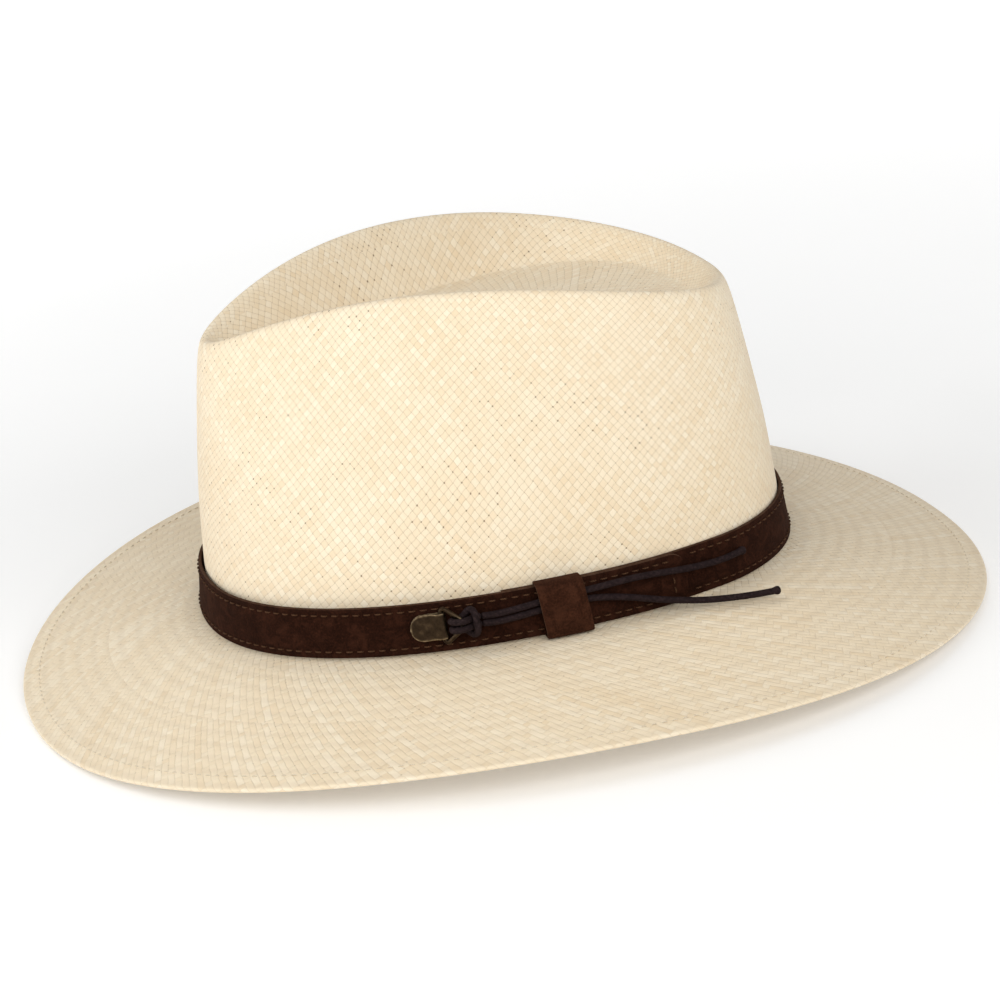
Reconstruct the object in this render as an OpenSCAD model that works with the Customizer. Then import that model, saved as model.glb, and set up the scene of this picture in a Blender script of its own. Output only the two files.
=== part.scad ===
// Panama hat with a teardrop crown, a snap brim and a suede hat band that carries a
// metal clip, a D-ring, a doubled cord and a sliding keeper loop.
// +Z up, the hat stands on its brim at z = 0, the front is -Y, the wearer's left is +X.

/* [Straw] */
// Thickness of the woven straw
straw_t = 1; // [0.8:0.1:1.2]
// Length of the crown's foot, front to back
crown_len = 198.5; // [196:0.5:199]
// Width of the crown's foot
crown_wid = 161.1; // [159:0.1:161.6]
// How much wider the oval is behind than in front
egg = 0.05; // [0:0.01:0.08]

/* [Crown] */
// Height of the ridge above the hat band's lower edge, at mid length
crown_h = 108.8; // [100:0.1:116]
// Length of the teardrop ridge
ridge_len = 176; // [170:1:180]
// Width of the teardrop ridge at mid length
ridge_wid = 115; // [105:1:120]
// How much the ridge narrows towards the front
ridge_taper = 0.52; // [0.4:0.01:0.6]
// Outward belly of the crown wall
wall_belly = 2.1; // [0:0.1:3]
// Width of the dent's sloping wall
dent_wall = 15; // [12:0.5:18]
// Height of the dent's floor above the band's lower edge
dent_floor = 84; // [80:0.5:90]

/* [Brim] */
// Brim width, measured along its slope from the hat band
brim_w = 66.7; // [55:0.1:75]
// Mean drop of the brim's edge below the hat band
brim_drop = 15.6; // [12:0.1:18]
// Extra drop at the front and back, and rise at the sides
brim_roll = 7.2; // [5:0.1:9]
// Extra drop on the wearer's left
brim_lean = 4; // [0:0.5:5]
// Extra reach of the brim at the front and back
brim_long = 2; // [0:0.5:5]
// Shift of the brim's edge to the back
brim_back = 1; // [0:0.5:2]
// Width of the hem folded under at the edge
hem_w = 8; // [6:0.5:10]
// Distance of the hem's stitches from the edge
hem_stitch_in = 6; // [4:0.5:7]

/* [Hat band] */
// Outside length of the hat band at its lower edge
band_len = 206; // [205.5:0.5:208]
// Outside width of the hat band at its lower edge
band_wid = 170; // [169.5:0.5:171]
// Height of the hat band
band_h = 16.4; // [15:0.1:17]
// Thickness of the suede strap
band_t = 1.15; // [1:0.05:1.2]
// Distance of the stitch rows from the strap's edges
band_stitch_in = 2.2; // [2:0.1:3]
// Angle of the strap's rounded outer end, from the front towards the left
strap_end = 112; // [108:0.5:114]

/* [Keeper loop] */
// Width of the keeper loop along the band
keeper_w = 15.4; // [12:0.1:17]
// Thickness of the keeper's suede
keeper_t = 0.9; // [0.7:0.1:1]

/* [Clip and D-ring] */
// Length of the clip's plate, from the rounded end to the fold
clip_len = 10.4; // [8:0.1:11]
// Width of the clip's plate
clip_wid = 8.6; // [7.6:0.1:8.8]
// Wire diameter of the D-ring
ring_wire = 1.5; // [1.2:0.1:1.6]
// Height of the D-ring along its straight bar
ring_h = 12.4; // [10:0.1:12.6]
// Reach of the D-ring from its bar to the outside of its bow
ring_reach = 7.6; // [7.2:0.1:8]

/* [Cord] */
// Diameter of the braided cord
cord_d = 2.2; // [2:0.1:2.3]

/* [Sweatband] */
// Height of the leather sweatband
sweat_h = 30; // [24:1:32]
// Thickness of the leather sweatband
sweat_t = 0.9; // [0.7:0.1:1.1]

/* [Hidden] */

straw_color = "wheat";
suede_color = "saddlebrown";
leather_color = "peru";
thread_color = "tan";
brass_color = "darkkhaki";
cord_color = "dimgray";
label_color = "ivory";
reed_color = "gainsboro";

// Shape of the head oval
oval_n = 2.2;
// Steps round the hat, a multiple of four
around = 64;
ring_step = 360 / around;
// Thickness of the pressed hem, in thicknesses of straw
hem_stack = 1.6;
crown_a = crown_len / 2;
crown_b = crown_wid / 2;
// The crown sits a little back on its brim
crown_y = 0.4;
band_a = band_len / 2;
band_b = band_wid / 2;

// The brim rises and falls by this much more between front and sides
brim_nod = 1.2;
// Height of the hat band's lower edge above the table
lift = (hem_stack - 0.5) * straw_t - min([for (p = [0 : 5 : 355]) edge_z(p)]);
// The crown's foot and the hat band dip by this much at the front and back
seat_fall = 3;
// Depth of the crown's foot below the hat band's lower edge, at mid thickness
foot = 2.5;
// Reach of the curve from the crown's wall into the brim
foot_reach = 5;
// How the brim's drop grows from the crown to the edge
brim_curve = 1.2;

// Height profile of the ridge from back (-1) to front (+1)
ridge_rise = 9;
ridge_arch = 17.5;
ridge_skew = 6.5;
ridge_y = -1.5;
ridge_corner = 3;
// Width of the crease between the dent's wall and its floor
crease = 1.5;
// The dent's floor falls towards its middle line
floor_fall = 1;
floor_slope = 1.5;
spine_y = -10;
spine_half = 60;

function spw(v, e) = sign(v) * pow(abs(v), e);
function unit(v) = v / norm(v);
function mix(a, b, t) = a + (b - a) * t;
function with_z(v, z) = [v[0], v[1], z];

// Angles run from the front (-Y) towards the wearer's left (+X)
function fwd(p) = spw(cos(p), 2 / oval_n);
function left(p) = spw(sin(p), 2 / oval_n);
function oval(p, a, b, y = 0) = [b * left(p) * (1 - egg * fwd(p)), y - a * fwd(p), 0];
function outward(p, a, b) = let (e = 2 - 2 / oval_n)
    unit([spw(sin(p), e) / b, -spw(cos(p), e) / a, 0]);

// Brim: from the crown's foot (t = 0) to the edge (t = 1)
function edge_z(p) = brim_nod * (cos(p) - cos(3 * p)) - brim_drop - brim_roll * cos(2 * p)
    - brim_lean * sin(p);
// Height of the hat band's lower edge, round the hat
function seat(p) = lift - seat_fall * pow(cos(p), 2);
function brim_reach(p) = sqrt(pow(brim_w, 2) - pow(edge_z(p), 2));
function brim_foot(p) = oval(p, crown_a, crown_b, crown_y)
    + foot_reach * outward(p, crown_a, crown_b);
function brim_edge(p) = oval(p, band_a + brim_long, band_b, brim_back)
    + brim_reach(p) * outward(p, band_a + brim_long, band_b);
function brim_at(p, t) = with_z(mix(brim_foot(p), brim_edge(p), t),
    mix(seat(p) - foot, lift + edge_z(p), pow(t, brim_curve)));

// Crown: the foot's oval, the teardrop ridge and the dent's middle line
function ridge_z(p) = let (c = fwd(p))
    crown_h + ridge_rise * c - ridge_arch * pow(c, 2) - ridge_skew * pow(c, 3);
function ridge(p) = [left(p) * ridge_wid / 2 * (1 - ridge_taper * fwd(p)),
    ridge_y - ridge_len / 2 * fwd(p), 0];
function spine(p) = [0, spine_y - spine_half * fwd(p), 0];
// The belly is fullest a little below mid height and keeps half of itself at the ridge
belly_low = 0.8;
belly_top = 0.5;
function belly(f) = wall_belly * (sin(180 * pow(max(f, 0), belly_low)) + belly_top * f);
// A point of the crown's wall at height z above the band's lower edge, moved out by off
function wall(p, z, off = 0) = let (f = z / ridge_z(p))
    with_z(mix(oval(p, crown_a, crown_b, crown_y), ridge(p), f)
        + (belly(f) + off) * outward(p, crown_a, crown_b), lift + z);
// The same, at height z above the band's lower edge where it dips
function low_wall(p, z, off = 0) = wall(p, z + seat(p) - lift, off);
// A point of the dent, d in from the ridge towards the middle line
function dent(p, d, z) = let (way = spine(p) - ridge(p))
    with_z(ridge(p) + d * unit(way), lift + z);
// The straw rises this much from the brim's inner edge to the oval
foot_rise = 0.1;
// Control points of the wall: heights near the foot, then shares of the ridge's height
wall_heights = [4, 14, 34];
wall_shares = [0.5, 0.72, 0.9];
// Control points of the dent's wall: shares of its width with shares of its depth
dent_wall_steps = [[0.5, 0.42], [0.88, 0.9], [1, 1]];
// The dent's wall is steeper by this share at the front and back
dent_steeper = 0.3;
// Share of the dent's floor where it starts to fall
floor_mid = 0.45;
function crown_controls(p) = let (
    reach = norm(spine(p) - ridge(p)),
    slope_w = dent_wall * (1 - dent_steeper * pow(fwd(p), 2)),
    floor_z = dent_floor + floor_slope * fwd(p),
    foot_oval = oval(p, crown_a, crown_b, crown_y),
    out = outward(p, crown_a, crown_b))
    [with_z(foot_oval + foot_reach * out, seat(p) - foot),
     with_z(foot_oval, seat(p) - foot + foot_rise),
     for (z = wall_heights) wall(p, z),
     for (f = wall_shares) wall(p, f * ridge_z(p)),
     dent(p, 0, ridge_z(p) + ridge_corner),
     for (v = dent_wall_steps) dent(p, slope_w * v[0], mix(ridge_z(p), floor_z, v[1])),
     dent(p, slope_w + crease, floor_z),
     dent(p, mix(slope_w, reach, floor_mid), floor_z - floor_fall / 2),
     dent(p, reach, floor_z - floor_fall)];

// Uniform cubic B-spline through the first and last control point
function spline_at(c, t) = let (
    n = len(c) - 1,
    full = concat([2 * c[0] - c[1]], c, [2 * c[n] - c[n - 1]]),
    i = min(floor(t * n), n - 1),
    f = t * n - i)
    (pow(1 - f, 3) * full[i] + (3 * pow(f, 3) - 6 * pow(f, 2) + 4) * full[i + 1]
    + (-3 * pow(f, 3) + 3 * pow(f, 2) + 3 * f + 1) * full[i + 2] + pow(f, 3) * full[i + 3]) / 6;

// Mid-surface rows of the straw, from the brim's edge in and up to the dent's middle line
hem_t = 1 - hem_w / (brim_w - foot_reach);
hem_step = 0.01;
brim_rows = [1, (1 + hem_t) / 2, hem_t + hem_step, hem_t - hem_step, 0.7, 0.5, 0.3, 0.13];
hem_rows = 3;
crown_steps = 22;
angles = [for (i = [0 : around - 1]) i * ring_step];
straw_rows = concat(
    [for (t = brim_rows) [for (p = angles) brim_at(p, t)]],
    [for (k = [0 : crown_steps]) [for (p = angles) spline_at(crown_controls(p), k / crown_steps)]]);
last_row = len(straw_rows) - 1;
function straw_normal(k, i) = k == last_row ? [0, 0, 1] : let (
    up = straw_rows[min(k + 1, last_row)][i] - straw_rows[max(k - 1, 0)][i],
    ring = straw_rows[k][(i + 1) % around] - straw_rows[k][(i + around - 1) % around])
    unit(cross(up, ring)) * -1;
// The folded hem thickens the straw under its own rows
function under(k) = (k < hem_rows ? hem_stack : 1) - 0.5;
straw_top = [for (k = [0 : last_row]) [for (i = [0 : around - 1])
    straw_rows[k][i] + straw_normal(k, i) * straw_t / 2]];
straw_under = [for (k = [0 : last_row]) [for (i = [0 : around - 1])
    straw_rows[k][i] - straw_normal(k, i) * straw_t * under(k)]];

// Index of a point in a skin whose last row folds onto one line
function at(k, i) = let (j = i % around)
    k < last_row ? k * around + j : last_row * around + min(j, around - j);
skin_size = last_row * around + around / 2 + 1;
function skin_points(rows) = concat(
    [for (k = [0 : last_row - 1]) for (i = [0 : around - 1]) rows[k][i]],
    [for (i = [0 : around / 2]) rows[last_row][i]]);

module straw_body() {
    color(straw_color)
    polyhedron(
        points = concat(skin_points(straw_top), skin_points(straw_under)),
        faces = concat(
            [for (k = [0 : last_row - 1]) for (i = [0 : around - 1])
                each [[at(k, i), at(k + 1, i + 1), at(k, i + 1)],
                      [at(k, i), at(k + 1, i), at(k + 1, i + 1)]]],
            [for (k = [0 : last_row - 1]) for (i = [0 : around - 1])
                each [[skin_size + at(k, i), skin_size + at(k, i + 1), skin_size + at(k + 1, i + 1)],
                      [skin_size + at(k, i), skin_size + at(k + 1, i + 1), skin_size + at(k + 1, i)]]],
            [for (i = [0 : around - 1])
                each [[at(0, i), at(0, i + 1), skin_size + at(0, i + 1)],
                      [at(0, i), skin_size + at(0, i + 1), skin_size + at(0, i)]]]));
}

// A solid swept through a list of sections with the same number of points each
module sweep(sections, closed = false) {
    n = len(sections);
    m = len(sections[0]);
    function id(k, j) = (k % n) * m + j % m;
    caps = closed ? [] : [[for (j = [0 : m - 1]) m - 1 - j], [for (j = [0 : m - 1]) (n - 1) * m + j]];
    polyhedron(
        points = [for (s = sections) each s],
        faces = concat(caps,
            [for (k = [0 : closed ? n - 1 : n - 2]) for (j = [0 : m - 1])
                each [[id(k, j), id(k, j + 1), id(k + 1, j + 1)],
                      [id(k, j), id(k + 1, j + 1), id(k + 1, j)]]]));
}

// A thread lying on a surface: a thin square bar along points with outward directions
thread_w = 0.5;
thread_h = 0.4;
thread_gap = 0.08;
function thread_section(pt, out, across) = [
    pt + thread_gap * out - across * thread_w / 2,
    pt + (thread_gap + thread_h) * out - across * thread_w / 2,
    pt + (thread_gap + thread_h) * out + across * thread_w / 2,
    pt + thread_gap * out + across * thread_w / 2];

// The hem's stitches stay this much clear of the slightly domed straw
hem_clear = 0.15;
module brim_hem_stitching() {
    color(thread_color)
    sweep([for (p = angles) let (
        pt = mix(brim_at(p, 1), brim_at(p, hem_t), hem_stitch_in / hem_w),
        across = unit(brim_at(p, hem_t) - brim_at(p, 1)))
        thread_section(pt + [0, 0, straw_t / 2 + hem_clear], [0, 0, 1], across)], closed = true);
}

// Sweatband: a leather strip standing just inside the crown's wall
sweat_gap = 0.52;
sweat_low = 0.8;
sweat_out = -(straw_t / 2 + sweat_gap);
sweat_stitch_z = 3;
sweat_rows = [sweat_low, sweat_stitch_z, 8, 16, 24, sweat_h];

module sweatband() {
    n = len(sweat_rows) - 1;
    color(leather_color)
    sweep([for (p = angles) concat(
        [for (k = [0 : n]) low_wall(p, sweat_rows[k], sweat_out)],
        [for (k = [0 : n]) low_wall(p, sweat_rows[n - k], sweat_out - sweat_t)])], closed = true);
}

reed_d = 1.4;
reed_gap = 0.05;
module sweatband_reed() {
    color(reed_color)
    sweep([for (p = angles) let (
        out = outward(p, crown_a, crown_b),
        mid = low_wall(p, sweat_low - reed_d / 2 - reed_gap, sweat_out - sweat_t / 2))
        [for (k = [0 : 7]) mid + reed_d / 2 * (out * cos(k * 45) + [0, 0, sin(k * 45)])]],
        closed = true);
}

module sweatband_stitching() {
    color(thread_color)
    sweep([for (p = angles) let (out = outward(p, crown_a, crown_b))
        thread_section(low_wall(p, sweat_stitch_z, sweat_out - sweat_t), -out, [0, 0, -1])], closed = true);
}

// Zigzag across the seam at the back of the sweatband
seam_low = 6;
seam_high = sweat_h - 2;
seam_pitch = 2.5;
seam_half = 1.5;
seam_gap = 0.1;
module sweatband_seam_stitching() {
    steps = floor((seam_high - seam_low) / seam_pitch);
    color(thread_color)
    sweep([for (k = [0 : steps]) let (
        side = k % 2 == 0 ? -seam_half : seam_half,
        pt = low_wall(180, seam_low + k * seam_pitch, sweat_out - sweat_t - seam_gap))
        thread_section(pt + [side, 0, 0], [0, -1, 0], [-1, 0, 0])]);
}

label_w = 30;
label_z0 = 8;
label_h = 13;
label_t = 0.3;
label_gap = 0.35;
label_angle = 168;
label_steps = 6;
module size_label() {
    span = label_w / crown_a * 180 / PI;
    out = sweat_out - sweat_t - label_gap;
    color(label_color)
    sweep([for (k = [0 : label_steps]) let (p = label_angle + span * (k / label_steps - 0.5))
        [low_wall(p, label_z0, out), low_wall(p, label_z0 + label_h, out),
         low_wall(p, label_z0 + label_h, out - label_t), low_wall(p, label_z0, out - label_t)]]);
}

// Hat band: one strap whose outer end laps over its inner end.
// Its outer face leans in towards the top.
band_low = 0.55;
band_lean = 1.8;
lap_gap = 0.05;
lap_start = 80;
ramp_span = 16;
strap_last = 360 + strap_end;
end_round = 5;
end_share = 0.9;
strap_step = 5;
// The thread rows start past the ramp's foot and stop short of the rounded end
thread_start = strap_end + 1;
thread_stop = strap_last - 2;
function smooth(t) = let (c = max(0, min(1, t))) pow(c, 2) * (3 - 2 * c);
// The strap's inner end lies one thickness in, and comes out where the outer end stops
function strap_out(u) = (smooth((u - thread_start) / ramp_span) - 1) * (band_t + lap_gap);
// A point of the strap's outer face at height z above the band's lower edge
function strap_at(u, z, off = 0) = let (out = outward(u, band_a, band_b))
    with_z(oval(u, band_a, band_b) + (strap_out(u) + off - band_lean * z / band_h) * out,
        seat(u) + z);
// Half height of the strap near its rounded end
function strap_half(u) = let (
    left_mm = (strap_last - u) * PI / 180 * band_b,
    s = min(1, left_mm / end_round))
    band_h / 2 - end_round * (1 - sqrt(1 - pow(1 - s, 2))) * end_share;
strap_angles = concat(
    [for (u = [lap_start : strap_step : strap_last - 5]) u],
    [strap_last - 3.4, strap_last - 2.2, strap_last - 1.1, strap_last - 0.4, strap_last]);
band_mid = band_low + band_h / 2;

module hat_band() {
    color(suede_color)
    sweep([for (u = strap_angles) let (h = strap_half(u))
        [strap_at(u, band_mid - h), strap_at(u, band_mid + h),
         strap_at(u, band_mid + h, -band_t), strap_at(u, band_mid - h, -band_t)]]);
}

module strap_thread(z) {
    color(thread_color)
    sweep([for (u = strap_angles) if (u > thread_start && u < thread_stop)
        thread_section(strap_at(u, z), outward(u, band_a, band_b), [0, 0, 1])]);
}

module band_upper_stitching() {
    strap_thread(band_low + band_h - band_stitch_in);
}

module band_lower_stitching() {
    strap_thread(band_low + band_stitch_in);
}

// Short rows of stitches down the lapped end, just inside its rounded tip
end_row_in = 3;
end_row_gap = 1;
end_row_steps = 4;
module strap_end_stitching() {
    u = strap_last - end_row_in;
    low = band_low + band_stitch_in + end_row_gap;
    high = band_low + band_h - band_stitch_in - end_row_gap;
    along = unit(strap_at(u + 0.5, 0) - strap_at(u - 0.5, 0));
    color(thread_color)
    sweep([for (k = [0 : end_row_steps])
        thread_section(strap_at(u, mix(low, high, k / end_row_steps)), outward(u, band_a, band_b), -along)]);
}

// Tacks that hold the band to the crown, in the gap behind it
tack_angles = [20, 160, 215, 325];
tack_size = [0.8, 0.3, 1.6];
tack_gap = 0.18;
tack_z = 14;
module band_tacks() {
    color(thread_color)
    for (p = tack_angles) let (mid = strap_at(p, tack_z, -band_t - tack_gap - tack_size[1] / 2))
        translate(mid)
        rotate([0, 0, p])
        cube(tack_size, center = true);
}

// Direction straight out of the band's face at an angle
function face_out(u) = let (t = unit(oval(u + 1, band_a, band_b) - oval(u - 1, band_a, band_b)))
    [t[1], -t[0], 0];

// Keeper loop: a frame-shaped section turned about the band's local centre of curvature
keeper_angle = 89.3;
keeper_r = 200;
keeper_front = 2.9;
keeper_back = 2 * band_t + lap_gap + 0.2;
keeper_back_t = 0.6;
keeper_low = band_low - 0.25;
keeper_high = band_low + band_h + 0.35;
keeper_out = face_out(keeper_angle);
keeper_axis = oval(keeper_angle, band_a, band_b) - keeper_r * keeper_out;
keeper_turn = atan2(keeper_out[1], keeper_out[0]);
keeper_span = keeper_w / keeper_r * 180 / PI;
// Radius of the band's face at height z, from the keeper's own axis
function keeper_x(z) = keeper_r - band_lean * z / band_h;

module keeper_frame(front, back) {
    polygon([
        [keeper_x(keeper_low) - keeper_back - back, keeper_low - back],
        [keeper_x(keeper_low) + keeper_front + front, keeper_low - back],
        [keeper_x(keeper_high) + keeper_front + front, keeper_high + front],
        [keeper_x(keeper_high) - keeper_back - back, keeper_high + front]]);
}

module at_keeper() {
    translate([keeper_axis[0], keeper_axis[1], seat(keeper_angle)])
    rotate([0, 0, keeper_turn])
    children();
}

// The keeper's ends are sewn together behind the band; the stitches lie sunk in its back
keeper_stitch = [0.2, 2.2, 0.5];
keeper_stitch_pitch = 2.6;
stitch_clear = 0.05;
module at_keeper_stitches() {
    at_keeper()
    translate([keeper_x(band_mid) - keeper_back, 0, band_mid])
    rotate([0, -atan(band_lean / band_h), 0])
    for (k = [-2 : 2])
        translate([0, 0, k * keeper_stitch_pitch])
        children();
}

module keeper_loop() {
    groove = keeper_stitch + 2 * stitch_clear * [1, 1, 1];
    color(suede_color)
    difference() {
        at_keeper()
        rotate([0, 0, -keeper_span / 2])
        rotate_extrude(angle = keeper_span, $fn = 180)
        difference() {
            keeper_frame(keeper_t, keeper_back_t);
            keeper_frame(0, 0);
        }
        at_keeper_stitches()
        translate([-keeper_stitch[0] / 2, 0, 0])
        cube(groove, center = true);
    }
}

module keeper_seam_stitching() {
    color(thread_color)
    at_keeper_stitches()
    translate([-keeper_stitch[0] / 2, 0, 0])
    cube(keeper_stitch, center = true);
}

// Clip, rivet and D-ring in their own frame: x runs along the band from the hinge bar,
// y up the band and z out from the band's face
clip_angle = 69;
clip_z = 9.4;
clip_roll = 3;
plate_t = 0.6;
bar_r = ring_wire / 2;
bar_gap = 0.12;
fold_in = bar_r + bar_gap;
fold_r = fold_in + plate_t;
face_gap = 0.1;
hinge_z = fold_r + face_gap;
corner_r = 0.95;
bow_r = 2.6;
corner_at = [corner_r, ring_h / 2 - bar_r - corner_r];
fold_wid = 2 * corner_at[1] - 0.6;
// The cord behind the D-ring's bow holds it off the band by this angle
ring_lift = 15;
clip_out = face_out(clip_angle);
clip_turn = atan2(clip_out[1], clip_out[0]);
clip_lean = atan(band_lean / band_h);
clip_origin = strap_at(360 + clip_angle, clip_z);

module at_clip() {
    translate(clip_origin)
    rotate([0, 0, clip_turn])
    rotate([0, -clip_lean, 0])
    rotate([90, 0, 90])
    rotate([0, 0, clip_roll])
    children();
}

// The same placing for a point
clip_n = clip_out * cos(clip_lean) + [0, 0, sin(clip_lean)];
clip_up = [0, 0, cos(clip_lean)] - clip_out * sin(clip_lean);
clip_along = [-clip_out[1], clip_out[0], 0];
function clip_point(v) = clip_origin + clip_n * v[2]
    + clip_along * (v[0] * cos(clip_roll) - v[1] * sin(clip_roll))
    + clip_up * (v[0] * sin(clip_roll) + v[1] * cos(clip_roll));

// Side view of the folded plate, x along the band and y out from its face. The upper leaf
// comes down from the fold and lies on the rivet's head.
rivet_head_t = 0.4;
leaf_low = face_gap + plate_t + rivet_head_t + 0.05;
leaf_bend_x = -1;
leaf_flat_x = -3;
leaf_top = hinge_z + fold_r - 0.1;
leaf_inside = hinge_z + fold_in - 0.3;
module clip_profile() {
    difference() {
        union() {
            translate([0, hinge_z])
            circle(fold_r, $fn = 48);
            polygon([
                [0, face_gap], [0, face_gap + plate_t],
                [-clip_len, face_gap + plate_t], [-clip_len, face_gap]]);
            polygon([
                [0, hinge_z + fold_r], [leaf_bend_x, leaf_top], [leaf_flat_x, leaf_low + plate_t],
                [-clip_len, leaf_low + plate_t], [-clip_len, leaf_low], [leaf_flat_x, leaf_low],
                [leaf_bend_x, leaf_inside], [0, hinge_z]]);
        }
        translate([0, hinge_z])
        circle(fold_in, $fn = 48);
    }
}

rivet_r = 1.2;
rivet_x = -5.2;
rivet_head_r = 2;
rivet_clear = 0.03;
rivet_tail = band_t + 0.6;
rivet_tail_t = 0.5;
shoulder_x = -2.4;
module ring_clip() {
    end_x = -clip_len + clip_wid / 2;
    color(brass_color)
    at_clip()
    difference() {
        intersection() {
            translate([0, clip_wid / 2, 0])
            rotate([90, 0, 0])
            linear_extrude(clip_wid)
            clip_profile();
            linear_extrude(hinge_z + fold_r + 1)
            union() {
                translate([end_x, 0])
                circle(d = clip_wid, $fn = 64);
                translate([end_x, -clip_wid / 2])
                square([shoulder_x - end_x, clip_wid]);
                translate([end_x, -fold_wid / 2])
                square([fold_r + 1 - end_x, fold_wid]);
            }
        }
        translate([rivet_x, 0, 0])
        cylinder(h = face_gap + plate_t + rivet_clear, r = rivet_r + rivet_clear, $fn = 48);
    }
}

// A blind rivet: its head sits under the plate's upper leaf, its end is spread behind the strap
module clip_rivet() {
    top = face_gap + plate_t;
    color(brass_color)
    at_clip()
    translate([rivet_x, 0, 0])
    union() {
        translate([0, 0, top])
        cylinder(h = rivet_head_t, r = rivet_head_r, $fn = 48);
        translate([0, 0, -rivet_tail])
        cylinder(h = rivet_tail + top + rivet_head_t / 2, r = rivet_r, $fn = 48);
        translate([0, 0, -rivet_tail])
        cylinder(h = rivet_tail_t, r = rivet_head_r, $fn = 48);
    }
}

// D-ring: a wire bent round two tight corners and a bow. Each station of its path is a
// centre, a bend radius and a direction out of the bend.
bow_at = [ring_reach - bar_r - bow_r, 0];
leg_way = bow_at - corner_at;
leg_normal = atan2(leg_way[1], leg_way[0]) + acos((corner_r - bow_r) / norm(leg_way));
wire_sides = 12;
corner_steps = 6;
bow_steps = 12;
ring_bends = concat(
    [for (k = [0 : corner_steps]) [corner_at, corner_r, mix(180, leg_normal, k / corner_steps)]],
    [for (k = [0 : bow_steps]) [bow_at, bow_r, leg_normal * (1 - 2 * k / bow_steps)]],
    [for (k = [0 : corner_steps])
        [[corner_at[0], -corner_at[1]], corner_r, -mix(leg_normal, 180, k / corner_steps)]]);
function wire_section(at, r, a) = [for (j = [0 : wire_sides - 1]) let (
    b = j * 360 / wire_sides,
    out = r + bar_r * cos(b))
    [at[0] + out * cos(a), at[1] + out * sin(a), -bar_r * sin(b)]];

module d_ring() {
    color(brass_color)
    at_clip()
    translate([0, 0, hinge_z])
    rotate([0, -ring_lift, 0])
    sweep([for (v = ring_bends) wire_section(v[0], v[1], v[2])], closed = true);
}

// Cord. A round tube swept along points, with a frame that never twists sharply
cord_sides = 8;
function way_at(pts, k) = unit(pts[min(k + 1, len(pts) - 1)] - pts[max(k - 1, 0)]);
function cord_section(pts, k, ref) = let (
    way = way_at(pts, k),
    a = unit(cross(way, ref)),
    b = cross(a, way))
    [for (j = [0 : cord_sides - 1]) pts[k]
        + cord_d / 2 * (a * cos(j * 360 / cord_sides) + b * sin(j * 360 / cord_sides))];
module cord_tube(controls, steps, ref) {
    pts = [for (k = [0 : steps]) spline_at(controls, k / steps)];
    sweep([for (k = [0 : steps]) cord_section(pts, k, ref)]);
}

// Half of the hitch round the D-ring's bow, in the clip's frame: in from the keeper,
// over the bow, down through the ring, back behind the bow and up over both strands
hitch_half = [
    [12.6, 1.2, 1.5], [11.2, 1.2, 1.4], [9.8, 1.2, 2.3], [8.7, 1.3, 4.0], [7.1, 1.2, 5.7],
    [4.4, 1.4, 5.5], [2.9, 1.4, 4.1], [2.9, 1.3, 2.1], [5.0, 1.1, 1.0], [7.3, 2.3, 1.4],
    [8.8, 4.1, 1.6], [10.4, 4.3, 2.7], [11.3, 2.1, 4.6], [11.0, 0.5, 4.5]];
hitch_route = concat(
    [for (v = hitch_half) clip_point(v)],
    [for (k = [len(hitch_half) - 1 : -1 : 0]) let (v = hitch_half[k])
        clip_point([v[0], -v[1], v[2]])]);

hitch_steps = 60;
strand_steps = 34;
module cord_hitch() {
    color(cord_color)
    cord_tube(hitch_route, hitch_steps, [0.31, 0.5, 0.81]);
}

// Routes of the two strands from the hitch through the keeper. On the band a route is a list
// of angle, height and distance out from the band's face; the lower strand then leaves it.
strand_gap = 0.5;
snug = 1.35;
over_stitches = 1.8;
upper_on_band = [
    [79.2, 10.6, snug], [85.2, 12, snug], [90, 12.6, snug], [93, 12.9, snug],
    [96.7, 13.1, 1.5], [100.3, 13.5, over_stitches], [106.2, 12.6, over_stitches],
    [110.5, 11.6, over_stitches], [115.5, 10.5, snug], [121.5, 9.8, snug], [127.5, 10, snug]];
lower_on_band = [[79.2, 8.1, snug], [85.2, 9.4, snug], [90, 10.1, snug], [93, 10.2, snug]];
lower_free = [
    [85.8, 17.7, 8.2], [86.3, 25.5, 5.8], [87, 33, 3.8], [87.6, 41, 2], [88, 48.5, 0.8],
    [88, 58, -0.3], [87.5, 65, -1], [87, 71, -1.3]];
function strand(y, on_band, free = []) = concat(
    [clip_point([hitch_half[0][0] + strand_gap, y, hitch_half[0][2]])],
    [for (v = on_band) strap_at(360 + v[0], v[1], v[2])],
    [for (v = free) v + [0, 0, lift]]);

module cord_upper_strand() {
    color(cord_color)
    cord_tube(strand(hitch_half[0][1], upper_on_band), strand_steps, [0, 0, 1]);
}

module cord_lower_strand() {
    color(cord_color)
    cord_tube(strand(-hitch_half[0][1], lower_on_band, lower_free), strand_steps, [0, 0, 1]);
}

straw_body();
brim_hem_stitching();
sweatband();
sweatband_reed();
sweatband_stitching();
sweatband_seam_stitching();
size_label();
hat_band();
band_upper_stitching();
band_lower_stitching();
strap_end_stitching();
band_tacks();
keeper_loop();
keeper_seam_stitching();
ring_clip();
clip_rivet();
d_ring();
cord_hitch();
cord_upper_strand();
cord_lower_strand();
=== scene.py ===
import math

import bpy
import numpy as np
from mathutils import Matrix, Vector


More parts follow.
